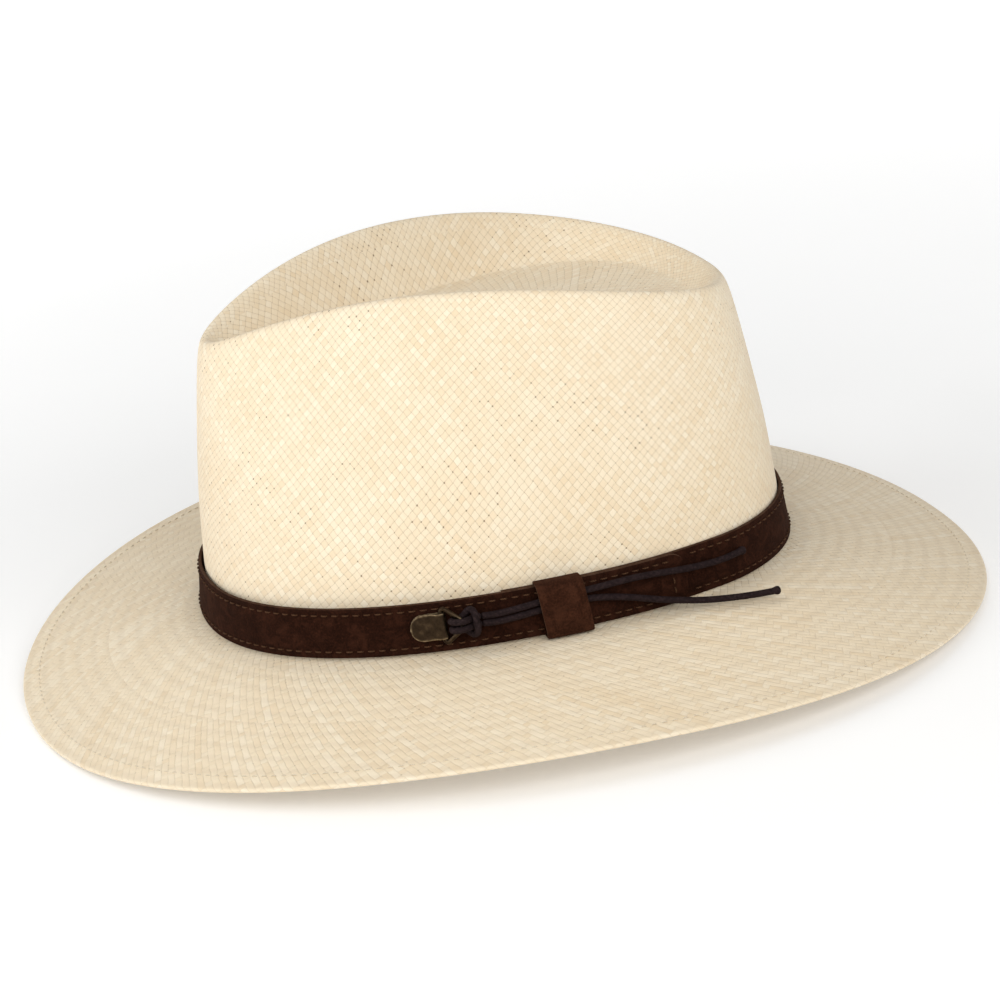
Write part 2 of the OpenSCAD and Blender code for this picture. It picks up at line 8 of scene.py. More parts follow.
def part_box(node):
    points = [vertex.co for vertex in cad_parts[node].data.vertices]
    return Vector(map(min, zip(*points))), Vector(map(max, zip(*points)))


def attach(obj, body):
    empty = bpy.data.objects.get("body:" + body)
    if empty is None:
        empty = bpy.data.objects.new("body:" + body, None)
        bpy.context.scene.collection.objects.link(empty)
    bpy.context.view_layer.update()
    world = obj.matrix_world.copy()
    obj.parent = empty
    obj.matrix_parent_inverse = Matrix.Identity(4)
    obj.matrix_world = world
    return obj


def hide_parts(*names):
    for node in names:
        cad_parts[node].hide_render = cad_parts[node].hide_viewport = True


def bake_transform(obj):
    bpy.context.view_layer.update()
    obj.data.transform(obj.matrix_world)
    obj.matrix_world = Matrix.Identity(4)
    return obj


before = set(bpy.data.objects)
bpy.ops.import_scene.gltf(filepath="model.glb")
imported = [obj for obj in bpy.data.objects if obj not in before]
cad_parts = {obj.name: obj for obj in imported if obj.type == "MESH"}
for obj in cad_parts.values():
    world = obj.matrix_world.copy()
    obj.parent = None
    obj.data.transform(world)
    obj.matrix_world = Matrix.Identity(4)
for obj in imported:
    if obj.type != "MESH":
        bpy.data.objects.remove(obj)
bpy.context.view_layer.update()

MM = 0.001

# ----------------------------------------
# The hat's own sizes in millimetres, as in the CAD. Angles run from the front (-Y)
# towards the wearer's left (+X), and heights from the hat band's lower edge.

STRAW_T = 1.0
CROWN_A, CROWN_B, CROWN_Y = 99.25, 80.9, 0.4
EGG, OVAL_N = 0.05, 2.2
CROWN_H, RIDGE_LEN, RIDGE_WID, RIDGE_TAPER = 108.8, 176, 115, 0.52
RIDGE_RISE, RIDGE_ARCH, RIDGE_SKEW, RIDGE_Y, RIDGE_CORNER = 9, 17.5, 6.5, -1.5, 3
WALL_BELLY, BELLY_LOW, BELLY_TOP = 2.1, 0.8, 0.5
DENT_WALL, DENT_FLOOR, CREASE, FLOOR_FALL, FLOOR_SLOPE = 15, 84, 1.5, 1, 1.5
SPINE_Y, SPINE_HALF = -10, 60
BRIM_W, BRIM_DROP, BRIM_ROLL, BRIM_NOD, BRIM_LEAN = 66.7, 15.6, 7.2, 1.2, 4
BRIM_CURVE, BRIM_LONG, BRIM_Y, FOOT_REACH = 1.2, 2, 1, 5
FOOT, SEAT_FALL = 1.3, 3
HEM_W, HEM_STITCH_IN, HEM_STACK = 8, 6, 1.6

# The weave runs round the hat in a spiral of this many straws along and across
SPIRAL = (13, -11)

BAND_A, BAND_B, BAND_H, BAND_T = 103, 85, 16.4, 1.15
BAND_LOW, BAND_LEAN, LAP_GAP = 0.55, 1.8, 0.05
LAP_START, STRAP_END, RAMP_SPAN, END_ROUND = 80, 112, 16, 5
STRAP_LAST = 360 + STRAP_END
BAND_MID = BAND_LOW + BAND_H / 2
STITCH_IN = 2.2

KEEPER_ANGLE, KEEPER_R, KEEPER_W, KEEPER_T = 89.3, 200, 15.4, 0.9
KEEPER_FRONT, KEEPER_BACK, KEEPER_BACK_T = 2.9, 2.55, 0.6

CLIP_ANGLE, CLIP_Z, CLIP_ROLL, CLIP_LEN, CLIP_WID = 69, 9.4, 3, 10.4, 8.6
PLATE_T, FACE_GAP, BAR_R, BAR_GAP = 0.6, 0.1, 0.75, 0.12
RING_H, RING_REACH, RING_LIFT, CORNER_R, BOW_R = 12.4, 7.6, 15, 0.95, 2.6

CORD_D = 2.2
SWEAT_LOW, SWEAT_H, SWEAT_T, SWEAT_GAP = 0.8, 30, 0.9, 0.52

# The band dips at the front and back, where its box ends
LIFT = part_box("hat_band")[0].z / MM - BAND_LOW + SEAT_FALL


def spw(v, e):
    return np.sign(v) * np.abs(v) ** e


def unit(v):
    return v / np.linalg.norm(v, axis=-1, keepdims=True)


def smooth(t):
    c = np.clip(t, 0, 1)
    return c * c * (3 - 2 * c)


def sin_d(p):
    return np.sin(np.radians(p))


def cos_d(p):
    return np.cos(np.radians(p))


def fwd(p):
    return spw(cos_d(p), 2 / OVAL_N)


def left(p):
    return spw(sin_d(p), 2 / OVAL_N)


def stack(x, y, z):
    return np.stack(np.broadcast_arrays(x, y, z), axis=-1).astype(float)


def with_z(v, z):
    return stack(v[..., 0], v[..., 1], z)


def oval(p, a, b, y=0.0):
    return stack(b * left(p) * (1 - EGG * fwd(p)), y - a * fwd(p), 0)


def outward(p, a, b):
    e = 2 - 2 / OVAL_N
    return unit(stack(spw(sin_d(p), e) / b, -spw(cos_d(p), e) / a, 0))


# ---- brim and crown

def edge_z(p):
    return (BRIM_NOD * (cos_d(p) - cos_d(3 * p)) - BRIM_DROP - BRIM_ROLL * cos_d(2 * p)
            - BRIM_LEAN * sin_d(p))


def seat(p):
    """Height of the hat band's lower edge, round the hat."""
    return LIFT - SEAT_FALL * cos_d(p) ** 2


def brim_at(p, t):
    foot = oval(p, CROWN_A, CROWN_B, CROWN_Y) + FOOT_REACH * outward(p, CROWN_A, CROWN_B)
    reach = np.sqrt(BRIM_W ** 2 - edge_z(p) ** 2)
    long_a = BAND_A + BRIM_LONG
    edge = oval(p, long_a, BAND_B, BRIM_Y) + reach[:, None] * outward(p, long_a, BAND_B)
    low = seat(p) - FOOT
    return with_z(foot + (edge - foot) * t, low + (LIFT + edge_z(p) - low) * t ** BRIM_CURVE)


def ridge_z(p):
    c = fwd(p)
    return CROWN_H + RIDGE_RISE * c - RIDGE_ARCH * c ** 2 - RIDGE_SKEW * c ** 3


def ridge(p):
    return stack(left(p) * RIDGE_WID / 2 * (1 - RIDGE_TAPER * fwd(p)),
                 RIDGE_Y - RIDGE_LEN / 2 * fwd(p), 0)


def spine(p):
    return stack(0 * p, SPINE_Y - SPINE_HALF * fwd(p), 0)


def belly(f):
    return WALL_BELLY * (sin_d(180 * np.maximum(f, 0) ** BELLY_LOW) + BELLY_TOP * f)


def wall(p, z, off=0.0):
    f = z / ridge_z(p)
    foot = oval(p, CROWN_A, CROWN_B, CROWN_Y)
    flat = foot + (ridge(p) - foot) * f[:, None]
    return with_z(flat + (belly(f) + off)[:, None] * outward(p, CROWN_A, CROWN_B), LIFT + z)


def low_wall(p, z, off=0.0):
    """The crown's wall at height z above the band's lower edge where it dips."""
    return wall(p, z + seat(p) - LIFT, off)


def dent(p, d, z):
    way = unit(spine(p) - ridge(p))
    return with_z(ridge(p) + np.broadcast_to(d, p.shape)[:, None] * way, LIFT + z)


def crown_controls(p):
    reach = np.linalg.norm(spine(p) - ridge(p), axis=1)
    slope = DENT_WALL * (1 - 0.3 * fwd(p) ** 2)
    floor = DENT_FLOOR + FLOOR_SLOPE * fwd(p)
    top = ridge_z(p)
    foot = oval(p, CROWN_A, CROWN_B, CROWN_Y)
    out = outward(p, CROWN_A, CROWN_B)
    flat = 0 * p
    return [with_z(foot + FOOT_REACH * out, seat(p) - FOOT),
            with_z(foot + 0.6 * out, seat(p) - FOOT + 0.15),
            wall(p, flat + 4), wall(p, flat + 14), wall(p, flat + 34),
            wall(p, 0.5 * top), wall(p, 0.72 * top), wall(p, 0.9 * top),
            dent(p, 0, top + RIDGE_CORNER),
            dent(p, slope * 0.5, top + (floor - top) * 0.42),
            dent(p, slope * 0.88, top + (floor - top) * 0.9),
            dent(p, slope, floor),
            dent(p, slope + CREASE, floor),
            dent(p, slope + (reach - slope) * 0.45, floor - FLOOR_FALL / 2),
            dent(p, reach, floor - FLOOR_FALL)]


def spline_at(c, t):
    """Uniform cubic B-spline through the first and last control point, at t from 0 to 1."""
    c = np.asarray(c, float)
    n = len(c) - 1
    full = np.concatenate([[2 * c[0] - c[1]], c, [2 * c[n] - c[n - 1]]])
    i = min(int(t * n), n - 1)
    f = t * n - i
    return ((1 - f) ** 3 * full[i] + (3 * f ** 3 - 6 * f ** 2 + 4) * full[i + 1]
            + (-3 * f ** 3 + 3 * f ** 2 + 3 * f + 1) * full[i + 2] + f ** 3 * full[i + 3]) / 6


# ---- hat band, keeper and clip places

def strap_at(u, z, off=0.0):
    """A point of the strap's outer face at angle u and height z, moved out by off."""
    u = np.asarray(u, float)
    sunk = (smooth((u - STRAP_END - 1) / RAMP_SPAN) - 1) * (BAND_T + LAP_GAP)
    out = outward(u, BAND_A, BAND_B)
    move = sunk + off - BAND_LEAN * z / BAND_H
    return with_z(oval(u, BAND_A, BAND_B) + np.asarray(move)[..., None] * out, seat(u) + z)


def face_out(u):
    t = unit(oval(u + 1, BAND_A, BAND_B) - oval(u - 1, BAND_A, BAND_B))
    return np.array([t[1], -t[0], 0])


KEEPER_OUT = face_out(KEEPER_ANGLE)
KEEPER_AXIS = oval(KEEPER_ANGLE, BAND_A, BAND_B) - KEEPER_R * KEEPER_OUT
KEEPER_TURN = math.atan2(KEEPER_OUT[1], KEEPER_OUT[0])

CLIP_LEAN = math.atan(BAND_LEAN / BAND_H)
CLIP_OUT = face_out(CLIP_ANGLE)
CLIP_ALONG = np.array([-CLIP_OUT[1], CLIP_OUT[0], 0])
CLIP_N = CLIP_OUT * math.cos(CLIP_LEAN) + [0, 0, math.sin(CLIP_LEAN)]
CLIP_UP = np.array([0, 0, math.cos(CLIP_LEAN)]) - CLIP_OUT * math.sin(CLIP_LEAN)
CLIP_ORIGIN = strap_at(360 + CLIP_ANGLE, CLIP_Z)
FOLD_IN = BAR_R + BAR_GAP
FOLD_R = FOLD_IN + PLATE_T
HINGE_Z = FOLD_R + FACE_GAP


def clip_points(v):
    """Points given in the clip's frame: along the band, up it and out from its face."""
    v = np.atleast_2d(np.asarray(v, float))
    c, s = cos_d(CLIP_ROLL), sin_d(CLIP_ROLL)
    x, y, z = v[:, :1], v[:, 1:2], v[:, 2:]
    return CLIP_ORIGIN + CLIP_N * z + CLIP_ALONG * (x * c - y * s) + CLIP_UP * (x * s + y * c)


# ----------------------------------------
# Camera

def make_camera():
    """The main view: height, turn and tilt of the camera, framed on the crown."""
    azimuth, elevation, roll = 75, 18.22, -7.17
    distance, lens, shift = 1.0, 105.12, (0.0203, -0.0577)
    target = np.array([0, 0, 0.040 + LIFT * MM])
    a, e, r = (math.radians(v) for v in (azimuth, elevation, roll))
    back = np.array([math.sin(a) * math.cos(e), -math.cos(a) * math.cos(e), math.sin(e)])
    right = np.array([math.cos(a), math.sin(a), 0])
    up = np.cross(back, right)
    image_right = right * math.cos(r) + up * math.sin(r)
    image_up = up * math.cos(r) - right * math.sin(r)
    data = bpy.data.cameras.new("camera")
    data.lens, data.sensor_width = lens, 36
    data.shift_x, data.shift_y = shift
    data.clip_start, data.clip_end = 0.05, 20
    camera = bpy.data.objects.new("camera", data)
    bpy.context.scene.collection.objects.link(camera)
    axes = np.eye(4)
    axes[:3, 0], axes[:3, 1], axes[:3, 2] = image_right, image_up, back
    axes[:3, 3] = target + back * distance
    camera.matrix_world = Matrix(axes.tolist())
    bpy.context.scene.camera = camera


# ----------------------------------------
# Mesh helpers. Points come in millimetres.

def mesh_object(name, points, faces, materials, face_material=None, uv=None, wear=None):
    mesh = bpy.data.meshes.new(name)
    mesh.from_pydata((np.asarray(points) * MM).tolist(), [], faces)
    for m in materials:
        mesh.materials.append(m)
    if face_material is not None:
        mesh.polygons.foreach_set("material_index", face_material)
    if uv is not None:
        layer = mesh.uv_layers.new(name="UVMap")
        layer.data.foreach_set("uv", np.asarray(uv, np.float32).ravel())
    if wear is not None:
        attribute = mesh.attributes.new("wear", "FLOAT", "POINT")
        attribute.data.foreach_set("value", np.asarray(wear, np.float32))
    mesh.polygons.foreach_set("use_smooth", np.ones(len(mesh.polygons), bool))
    mesh.update()
    piece = bpy.data.objects.new(name, mesh)
    bpy.context.scene.collection.objects.link(piece)
    return piece


def loft_arrays(sections, closed=False, first=0):
    """Points and faces of a solid lofted through sections, numbered from first."""
    sections = np.asarray(sections)
    n, m = sections.shape[:2]
    faces = []
    for k in range(n if closed else n - 1):
        a, b = k * m, (k + 1) % n * m
        faces += [(first + a + j, first + b + j, first + b + (j + 1) % m, first + a + (j + 1) % m)
                  for j in range(m)]
    if not closed:
        faces.append(tuple(first + j for j in range(m)))
        faces.append(tuple(first + (n - 1) * m + j for j in reversed(range(m))))
    return sections.reshape(-1, 3), faces


def loft(name, sections, materials, closed=False, **extra):
    points, faces = loft_arrays(sections, closed)
    return mesh_object(name, points, faces, materials, **extra)


def path_normals(points):
    """Two normals along a path, turned as little as possible."""
    way = unit(np.gradient(points, axis=0))
    a = np.zeros_like(points)
    seed = np.array([0.31, 0.5, 0.81])
    a[0] = unit(np.cross(way[0], seed))
    for k in range(1, len(points)):
        v = a[k - 1] - way[k] * (a[k - 1] @ way[k])
        a[k] = v / np.linalg.norm(v)
    return a, np.cross(way, a)


def tube_sections(points, radius, sides):
    """Round sections along a path; radius is a number or an array (rings, sides)."""
    a, b = path_normals(points)
    turn = np.arange(sides) * 2 * math.pi / sides
    radius = np.broadcast_to(radius, (len(points), sides))[..., None]
    return points[:, None] + radius * (a[:, None] * np.cos(turn)[None, :, None]
                                       + b[:, None] * np.sin(turn)[None, :, None])


def resample(points, step):
    """Points at equal steps along a path, and their distance from its start."""
    s = np.concatenate([[0], np.cumsum(np.linalg.norm(np.diff(points, axis=0), axis=1))])
    at = np.linspace(0, s[-1], max(2, int(round(s[-1] / step))) + 1)
    return np.stack([np.interp(at, s, points[:, k]) for k in range(3)], axis=1), at


def curve_points(controls, count=400):
    return np.array([spline_at(controls, t) for t in np.linspace(0, 1, count)])


def stitches(name, place, length, pitch, stitch, thread, materials):
    """Separate stitches along a line. place(s, off) is the point at distance s, moved off
    the surface by off; each stitch dips into the surface at both ends."""
    t = np.linspace(-1, 1, 9)
    # The middle of a stitch lies on the surface and its ends dip below it
    lift = thread * (0.62 - 1.35 * t ** 4)
    turn = np.arange(8) * math.pi / 4
    points, faces = [], []
    for start in np.arange(0, length - stitch, pitch):
        s = start + stitch / 2 * (1 + t)
        mid = place(s, lift)
        out = unit(place(s, lift + 1) - mid)
        way = unit(np.gradient(mid, axis=0))
        side = np.cross(way, out)
        width = thread / 2 * np.sqrt(np.clip(1.06 - t ** 4, 0.05, 1))[:, None, None]
        ring = mid[:, None] + width * (side[:, None] * np.cos(turn)[None, :, None]
                                       + out[:, None] * np.sin(turn)[None, :, None] * 0.85)
        p, f = loft_arrays(ring, first=sum(map(len, points)))
        points.append(p)
        faces += f
    return mesh_object(name, np.concatenate(points), faces, materials)


def arc_length(place, start, stop, count=600):
    """place(u) sampled from start to stop: the samples of u and the distance along."""
    u = np.linspace(start, stop, count)
    steps = np.linalg.norm(np.diff(place(u), axis=0), axis=1)
    return u, np.concatenate([[0], np.cumsum(steps)])


def add(piece, body, *replaced, slot=None):
    """Rides a finished piece on its body and stands it for CAD nodes; slot is not used."""
    if replaced:
        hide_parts(*replaced)
    if body:
        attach(piece, body)
    return piece


# ----------------------------------------
# Node helpers for the materials

class Nodes:
    """Short calls for building a material's node tree."""

    def __init__(self, name):
        self.material = bpy.data.materials.new(name)
        self.material.use_nodes = True
        self.tree = self.material.node_tree
        self.tree.nodes.clear()
        self.out = self.tree.nodes.new("ShaderNodeOutputMaterial")
        self.shader = self.tree.nodes.new("ShaderNodeBsdfPrincipled")
        self.tree.links.new(self.shader.outputs[0], self.out.inputs["Surface"])

    def node(self, kind, **values):
        made = self.tree.nodes.new("ShaderNode" + kind)
        for key, value in values.items():
            setattr(made, key, value)
        return made

    def link(self, source, socket):
        if isinstance(source, (int, float, tuple, list)):
            socket.default_value = source
        else:
            self.tree.links.new(source, socket)

    def math(self, operation, *sources):
        made = self.node("Math", operation=operation)
        for k, source in enumerate(sources):
            self.link(source, made.inputs[k])
        return made.outputs[0]

    def uv(self):
        made = self.node("SeparateXYZ")
        self.link(self.node("UVMap", uv_map="UVMap").outputs[0], made.inputs[0])
        return made.outputs[0], made.outputs[1]

    def place(self):
        return self.node("TexCoord").outputs["Object"]

    def vector(self, x, y, z=0.0):
        made = self.node("CombineXYZ")
        for k, source in enumerate((x, y, z)):
            self.link(source, made.inputs[k])
        return made.outputs[0]

    def random(self, x, y):
        made = self.node("TexWhiteNoise", noise_dimensions="2D")
        self.link(self.vector(x, y), made.inputs["Vector"])
        return made.outputs["Value"]

    def noise(self, scale, detail=2.0, rough=0.5, vector=None, distortion=0.0):
        made = self.node("TexNoise")
        self.link(self.place() if vector is None else vector, made.inputs["Vector"])
        made.inputs["Scale"].default_value = scale
        made.inputs["Detail"].default_value = detail
        made.inputs["Roughness"].default_value = rough
        made.inputs["Distortion"].default_value = distortion
        return made.outputs[0]

    def stretch(self, scale):
        made = self.node("Mapping")
        self.link(self.place(), made.inputs["Vector"])
        made.inputs["Scale"].default_value = scale
        return made.outputs[0]

    def ramp(self, source, stops):
        made = self.node("ValToRGB")
        self.link(source, made.inputs[0])
        while len(made.color_ramp.elements) < len(stops):
            made.color_ramp.elements.new(0.5)
        for element, (at, color) in zip(made.color_ramp.elements, stops):
            element.position = at
            element.color = (*color, 1.0) if len(color) == 3 else color
        return made.outputs[0]

    def mix(self, factor, a, b):
        made = self.node("Mix", data_type="RGBA")
        for source, key in ((factor, "Factor_Float"), (a, "A_Color"), (b, "B_Color")):
            socket = next(s for s in made.inputs if s.identifier == key)
            self.link((*source, 1.0) if isinstance(source, tuple) else source, socket)
        return next(s for s in made.outputs if s.identifier == "Result_Color")

    def map(self, source, low, high, to_low, to_high):
        made = self.node("MapRange", interpolation_type="SMOOTHSTEP")
        for k, value in enumerate((source, low, high, to_low, to_high)):
            self.link(value, made.inputs[k])
        return made.outputs[0]

    def bump(self, height, distance, strength):
        made = self.node("Bump")
        made.inputs["Strength"].default_value = strength
        made.inputs["Distance"].default_value = distance
        self.link(height, made.inputs["Height"])
        return made.outputs[0]

    def finish(self, color, roughness, normal=None, **fixed):
        self.link(color, self.shader.inputs["Base Color"])
        self.link(roughness, self.shader.inputs["Roughness"])
        if normal is not None:
            self.link(normal, self.shader.inputs["Normal"])
        for key, value in fixed.items():
            name = key.replace("_", " ").title().replace("Ior", "IOR")
            self.shader.inputs[name].default_value = value
        return self.material


def woven(n, p, q, over_p=1.0, over_q=1.0):
    """A weave from cell coordinates p and q, in which a strand along p passes over over_p
    strands and one along q over over_q. Returns the height of the top strand, a flag for
    which family is on top, the strand's number and the place along and across it."""
    cell_p, cell_q = n.math("FLOOR", p), n.math("FLOOR", q)
    part_p, part_q = n.math("SUBTRACT", p, cell_p), n.math("SUBTRACT", q, cell_q)
    step = n.math("FLOORED_MODULO", n.math("ADD", cell_p, cell_q), over_p + over_q)
    on_p = n.math("LESS_THAN", step, over_p - 0.5)
    along_p = n.math("DIVIDE", n.math("ADD", step, part_p), over_p)
    along_q = n.math("DIVIDE", n.math("ADD", n.math("SUBTRACT", step, over_p), part_q), over_q)

    def pick(a, b):
        return n.math("ADD", n.math("MULTIPLY", on_p, a),
                      n.math("MULTIPLY", n.math("SUBTRACT", 1.0, on_p), b))

    along, across = pick(along_p, along_q), pick(part_q, part_p)

    def crown(t, power):
        far = n.math("ABSOLUTE", n.math("MULTIPLY_ADD", t, 2.0, -1.0))
        return n.math("SUBTRACT", 1.0, n.math("POWER", far, power))

    ends = n.math("MULTIPLY_ADD", crown(along, 5.0), 0.55, 0.45)
    height = n.math("MULTIPLY", crown(across, 4.0), ends)
    return height, on_p, pick(cell_q, cell_p), pick(p, q), across


# ----------------------------------------
# Materials

def straw_material(name, floats, line, rib, hole_shade, spread):
    """Woven palm straw. floats is how many straws each family passes over, line how dark
    the painted shade in the gaps between straws is, rib the depth of the rings that the
    rows form and how dark their grooves are painted as shade, holes how dark the pin holes
    are painted as the shade seen through them and spread how much single crossings differ
    in tone."""
    n = Nodes(name)
    p, q = n.uv()
    p = n.math("ADD", p, n.math("MULTIPLY_ADD", n.noise(330, 2), 0.3, -0.15))
    q = n.math("ADD", q, n.math("MULTIPLY_ADD", n.noise(260, 2, vector=n.stretch((1, 1, 1.7))),
                                0.3, -0.15))
    height, on_p, strand, along, across = woven(n, p, q, *floats)
    piece_no = n.math("FLOOR", n.math("MULTIPLY_ADD", along, 1 / 31, n.random(strand, on_p)))
    tone = n.random(n.math("ADD", strand, n.math("MULTIPLY", on_p, 517.0)), piece_no)
    color = n.ramp(tone, [(0.0, (0.795, 0.650, 0.450)), (0.14, (0.815, 0.680, 0.485)),
                          (0.5, (0.830, 0.705, 0.515)), (0.8, (0.840, 0.720, 0.535)),
                          (1.0, (0.860, 0.755, 0.580))])
    cell_tone = n.random(n.math("FLOOR", p), n.math("FLOOR", q))
    color = n.mix(n.map(cell_tone, 0.45, 1.0, 0.0, spread), color, (0.775, 0.615, 0.405))
    streak = n.noise(2.2, 3, 0.6, vector=n.vector(n.math("MULTIPLY", along, 0.25),
                                                  n.math("MULTIPLY", across, 2.4), strand))
    color = n.mix(n.map(streak, 0.4, 0.75, 0.0, 0.2), color, (0.76, 0.61, 0.42))
    patch = n.noise(30, 3, 0.55)
    color = n.mix(n.map(patch, 0.38, 0.68, 0.0, 0.18), color, (0.88, 0.79, 0.62))
    # Painted shade: line darkens the gaps between straws, most where a strand dives under its
    # neighbour
    painted_gap_shade = n.map(height, 0.0, 0.42, line, 0.0)
    color = n.mix(painted_gap_shade, color, (0.50, 0.385, 0.25))
    # Pin holes open at some of the crossings, painted dark as the shade seen through them
    corner = n.math("MAXIMUM", n.math("PINGPONG", p, 0.5), n.math("PINGPONG", q, 0.5))
    chance = n.math("MULTIPLY", n.random(n.math("ROUND", p), n.math("ROUND", q)),
                    n.map(n.noise(26, 2), 0.35, 0.65, 0.72, 1.08))
    size = n.map(chance, 0.66, 1.0, 0.0, 0.15)
    painted_hole_shade = n.map(corner, n.math("MULTIPLY", size, 0.45), n.math("ADD", size, 0.001), 1.0, 0.0)
    color = n.mix(n.math("MULTIPLY", painted_hole_shade, hole_shade), color, (0.20, 0.13, 0.07))
    along_ring, across_ring = (v / math.hypot(*SPIRAL) for v in SPIRAL)
    ring = n.math("MULTIPLY_ADD", p, across_ring, n.math("MULTIPLY", q, along_ring))
    wave = n.math("SINE", n.math("MULTIPLY", ring, 2 * math.pi / 3))
    # Painted shade in the grooves between the rings, scaled by rib like their relief
    color = n.mix(n.map(wave, -1.0, 0.2, 0.25 * rib, 0.0), color, (0.56, 0.44, 0.30))
    relief = n.math("ADD", n.math("POWER", height, 0.6), n.math("MULTIPLY", streak, 0.12))
    relief = n.math("ADD", relief, n.math("MULTIPLY", wave, 0.5 * rib))
    normal = n.bump(relief, 0.00022, 0.7)
    rough = n.map(tone, 0.0, 1.0, 0.52, 0.64)
    return n.finish(color, rough, normal, specular_ior_level=0.3, sheen_weight=0.08,
                    sheen_roughness=0.5)


def suede_material(name, dark, mid, light, edge=0.0):
    n = Nodes(name)
    nap = n.noise(1500, 4, 0.65)
    blotch = n.noise(190, 4, 0.65, distortion=0.8)
    brush = n.noise(60, 3, 0.6, vector=n.stretch((1, 1, 5)))
    color = n.ramp(nap, [(0.25, dark), (0.55, mid), (0.85, light)])
    color = n.mix(n.map(blotch, 0.42, 0.68, 0.0, 0.5), color, light)
    fleck = n.noise(2600, 2, 0.7)
    color = n.mix(n.map(fleck, 0.62, 0.74, 0.0, 0.5), color, light)
    color = n.mix(n.map(brush, 0.45, 0.7, 0.0, 0.35), color, dark)
    grain = n.math("ADD", nap, n.math("MULTIPLY", n.noise(5200, 2), 0.6))
    normal = n.bump(grain, 0.00018, 0.7 - edge)
    return n.finish(color, 0.95, normal, specular_ior_level=0.05, sheen_weight=0.05,
                    sheen_roughness=0.5, sheen_tint=(0.55, 0.27, 0.16, 1.0))


def thread_material(name, dark, light):
    n = Nodes(name)
    twist = n.node("TexWave", wave_type="BANDS", bands_direction="DIAGONAL")
    n.link(n.place(), twist.inputs["Vector"])
    twist.inputs["Scale"].default_value = 900
    twist.inputs["Distortion"].default_value = 1.5
    fibre = n.noise(2600, 3)
    color = n.ramp(n.math("MULTIPLY_ADD", twist.outputs[1], 0.5, n.math("MULTIPLY", fibre, 0.5)),
                   [(0.2, dark), (0.75, light)])
    normal = n.bump(twist.outputs[1], 0.00006, 0.6)
    return n.finish(color, 0.75, normal, specular_ior_level=0.12)


def brass_material():
    n = Nodes("antique_brass")
    worn_and_highlight = n.node("Attribute", attribute_name="wear").outputs["Fac"]
    patina = n.noise(420, 5, 0.65)
    color = n.ramp(patina, [(0.3, (0.020, 0.0125, 0.0075)), (0.55, (0.044, 0.0285, 0.0165)),
                            (0.8, (0.100, 0.067, 0.038))])
    # Lighter brass where the vertex mask is high: rubbed wear on the clip's sides and tip, and on
    # the clip's fold and the ring's bow wear with a painted highlight
    rub_and_highlight = n.math("MULTIPLY", n.math("POWER", worn_and_highlight, 2.0),
                 n.map(n.noise(900, 3), 0.35, 0.6, 0.3, 0.8))
    color = n.mix(rub_and_highlight, color, (0.46, 0.34, 0.20))
    scratch = n.noise(700, 4, 0.6, vector=n.stretch((1, 6, 1)))
    rough = n.map(n.math("ADD", patina, n.math("MULTIPLY", rub_and_highlight, -0.4)), 0.2, 0.8, 0.3, 0.55)
    normal = n.bump(n.math("ADD", scratch, patina), 0.00004, 0.5)
    return n.finish(color, rough, normal, metallic=1.0)


def cord_material():
    n = Nodes("cord_braid")
    p, q = n.uv()
    height, on_p, strand, along, across = woven(n, p, q)
    tone = n.random(strand, on_p)
    color = n.ramp(tone, [(0.0, (0.0090, 0.0050, 0.0054)), (0.5, (0.0155, 0.0090, 0.0094)),
                          (1.0, (0.0250, 0.0150, 0.0152))])
    fibre = n.node("TexWave", wave_type="BANDS", bands_direction="X")
    n.link(n.vector(across, along), fibre.inputs["Vector"])
    fibre.inputs["Scale"].default_value = 1.3
    color = n.mix(n.math("MULTIPLY", fibre.outputs[1], 0.3), color, (0.038, 0.025, 0.025))
    # Painted shade in the crevices between the braid's strands, where the height is low
    color = n.mix(n.map(height, 0.0, 0.5, 0.6, 0.0), color, (0.003, 0.002, 0.0020))
    fuzz = n.noise(2400, 3)
    normal = n.bump(n.math("ADD", n.math("POWER", height, 0.6), n.math("MULTIPLY", fuzz, 0.3)),
                    0.00012, 0.7)
    return n.finish(color, 0.8, normal, specular_ior_level=0.06)


def leather_material():
    n = Nodes("sweatband_leather")
    cells = n.node("TexVoronoi", feature="DISTANCE_TO_EDGE")
    n.link(n.place(), cells.inputs["Vector"])
    cells.inputs["Scale"].default_value = 900
    crease = n.map(cells.outputs[0], 0.0, 0.12, 0.0, 1.0)
    blotch = n.noise(45, 4, 0.6)
    color = n.ramp(blotch, [(0.3, (0.22, 0.105, 0.05)), (0.7, (0.34, 0.175, 0.085))])
    # Painted shade in the creases of the grain, which the bump also sinks
    color = n.mix(n.math("MULTIPLY", n.math("SUBTRACT", 1.0, crease), 0.4), color,
                  (0.12, 0.055, 0.028))
    normal = n.bump(crease, 0.00008, 0.5)
    return n.finish(color, n.map(blotch, 0.3, 0.7, 0.38, 0.55), normal)


def reed_material():
    n = Nodes("reed_plastic")
    speck = n.noise(700, 3)
    color = n.ramp(speck, [(0.3, (0.62, 0.57, 0.46)), (0.7, (0.74, 0.69, 0.58))])
    return n.finish(color, 0.45, n.bump(speck, 0.00003, 0.4))


def label_material():
    n = Nodes("label_cloth")
    height = woven(n, *n.uv())[0]
    color = n.mix(n.map(n.noise(90, 3), 0.4, 0.7, 0.0, 0.3), (0.80, 0.76, 0.66),
                  (0.70, 0.65, 0.54))
    # Painted shade in the gaps between the label's threads, where the height is low
    color = n.mix(n.map(height, 0.0, 0.4, 0.4, 0.0), color, (0.45, 0.41, 0.33))
    return n.finish(color, 0.7, n.bump(height, 0.00005, 0.6), sheen_weight=0.3)


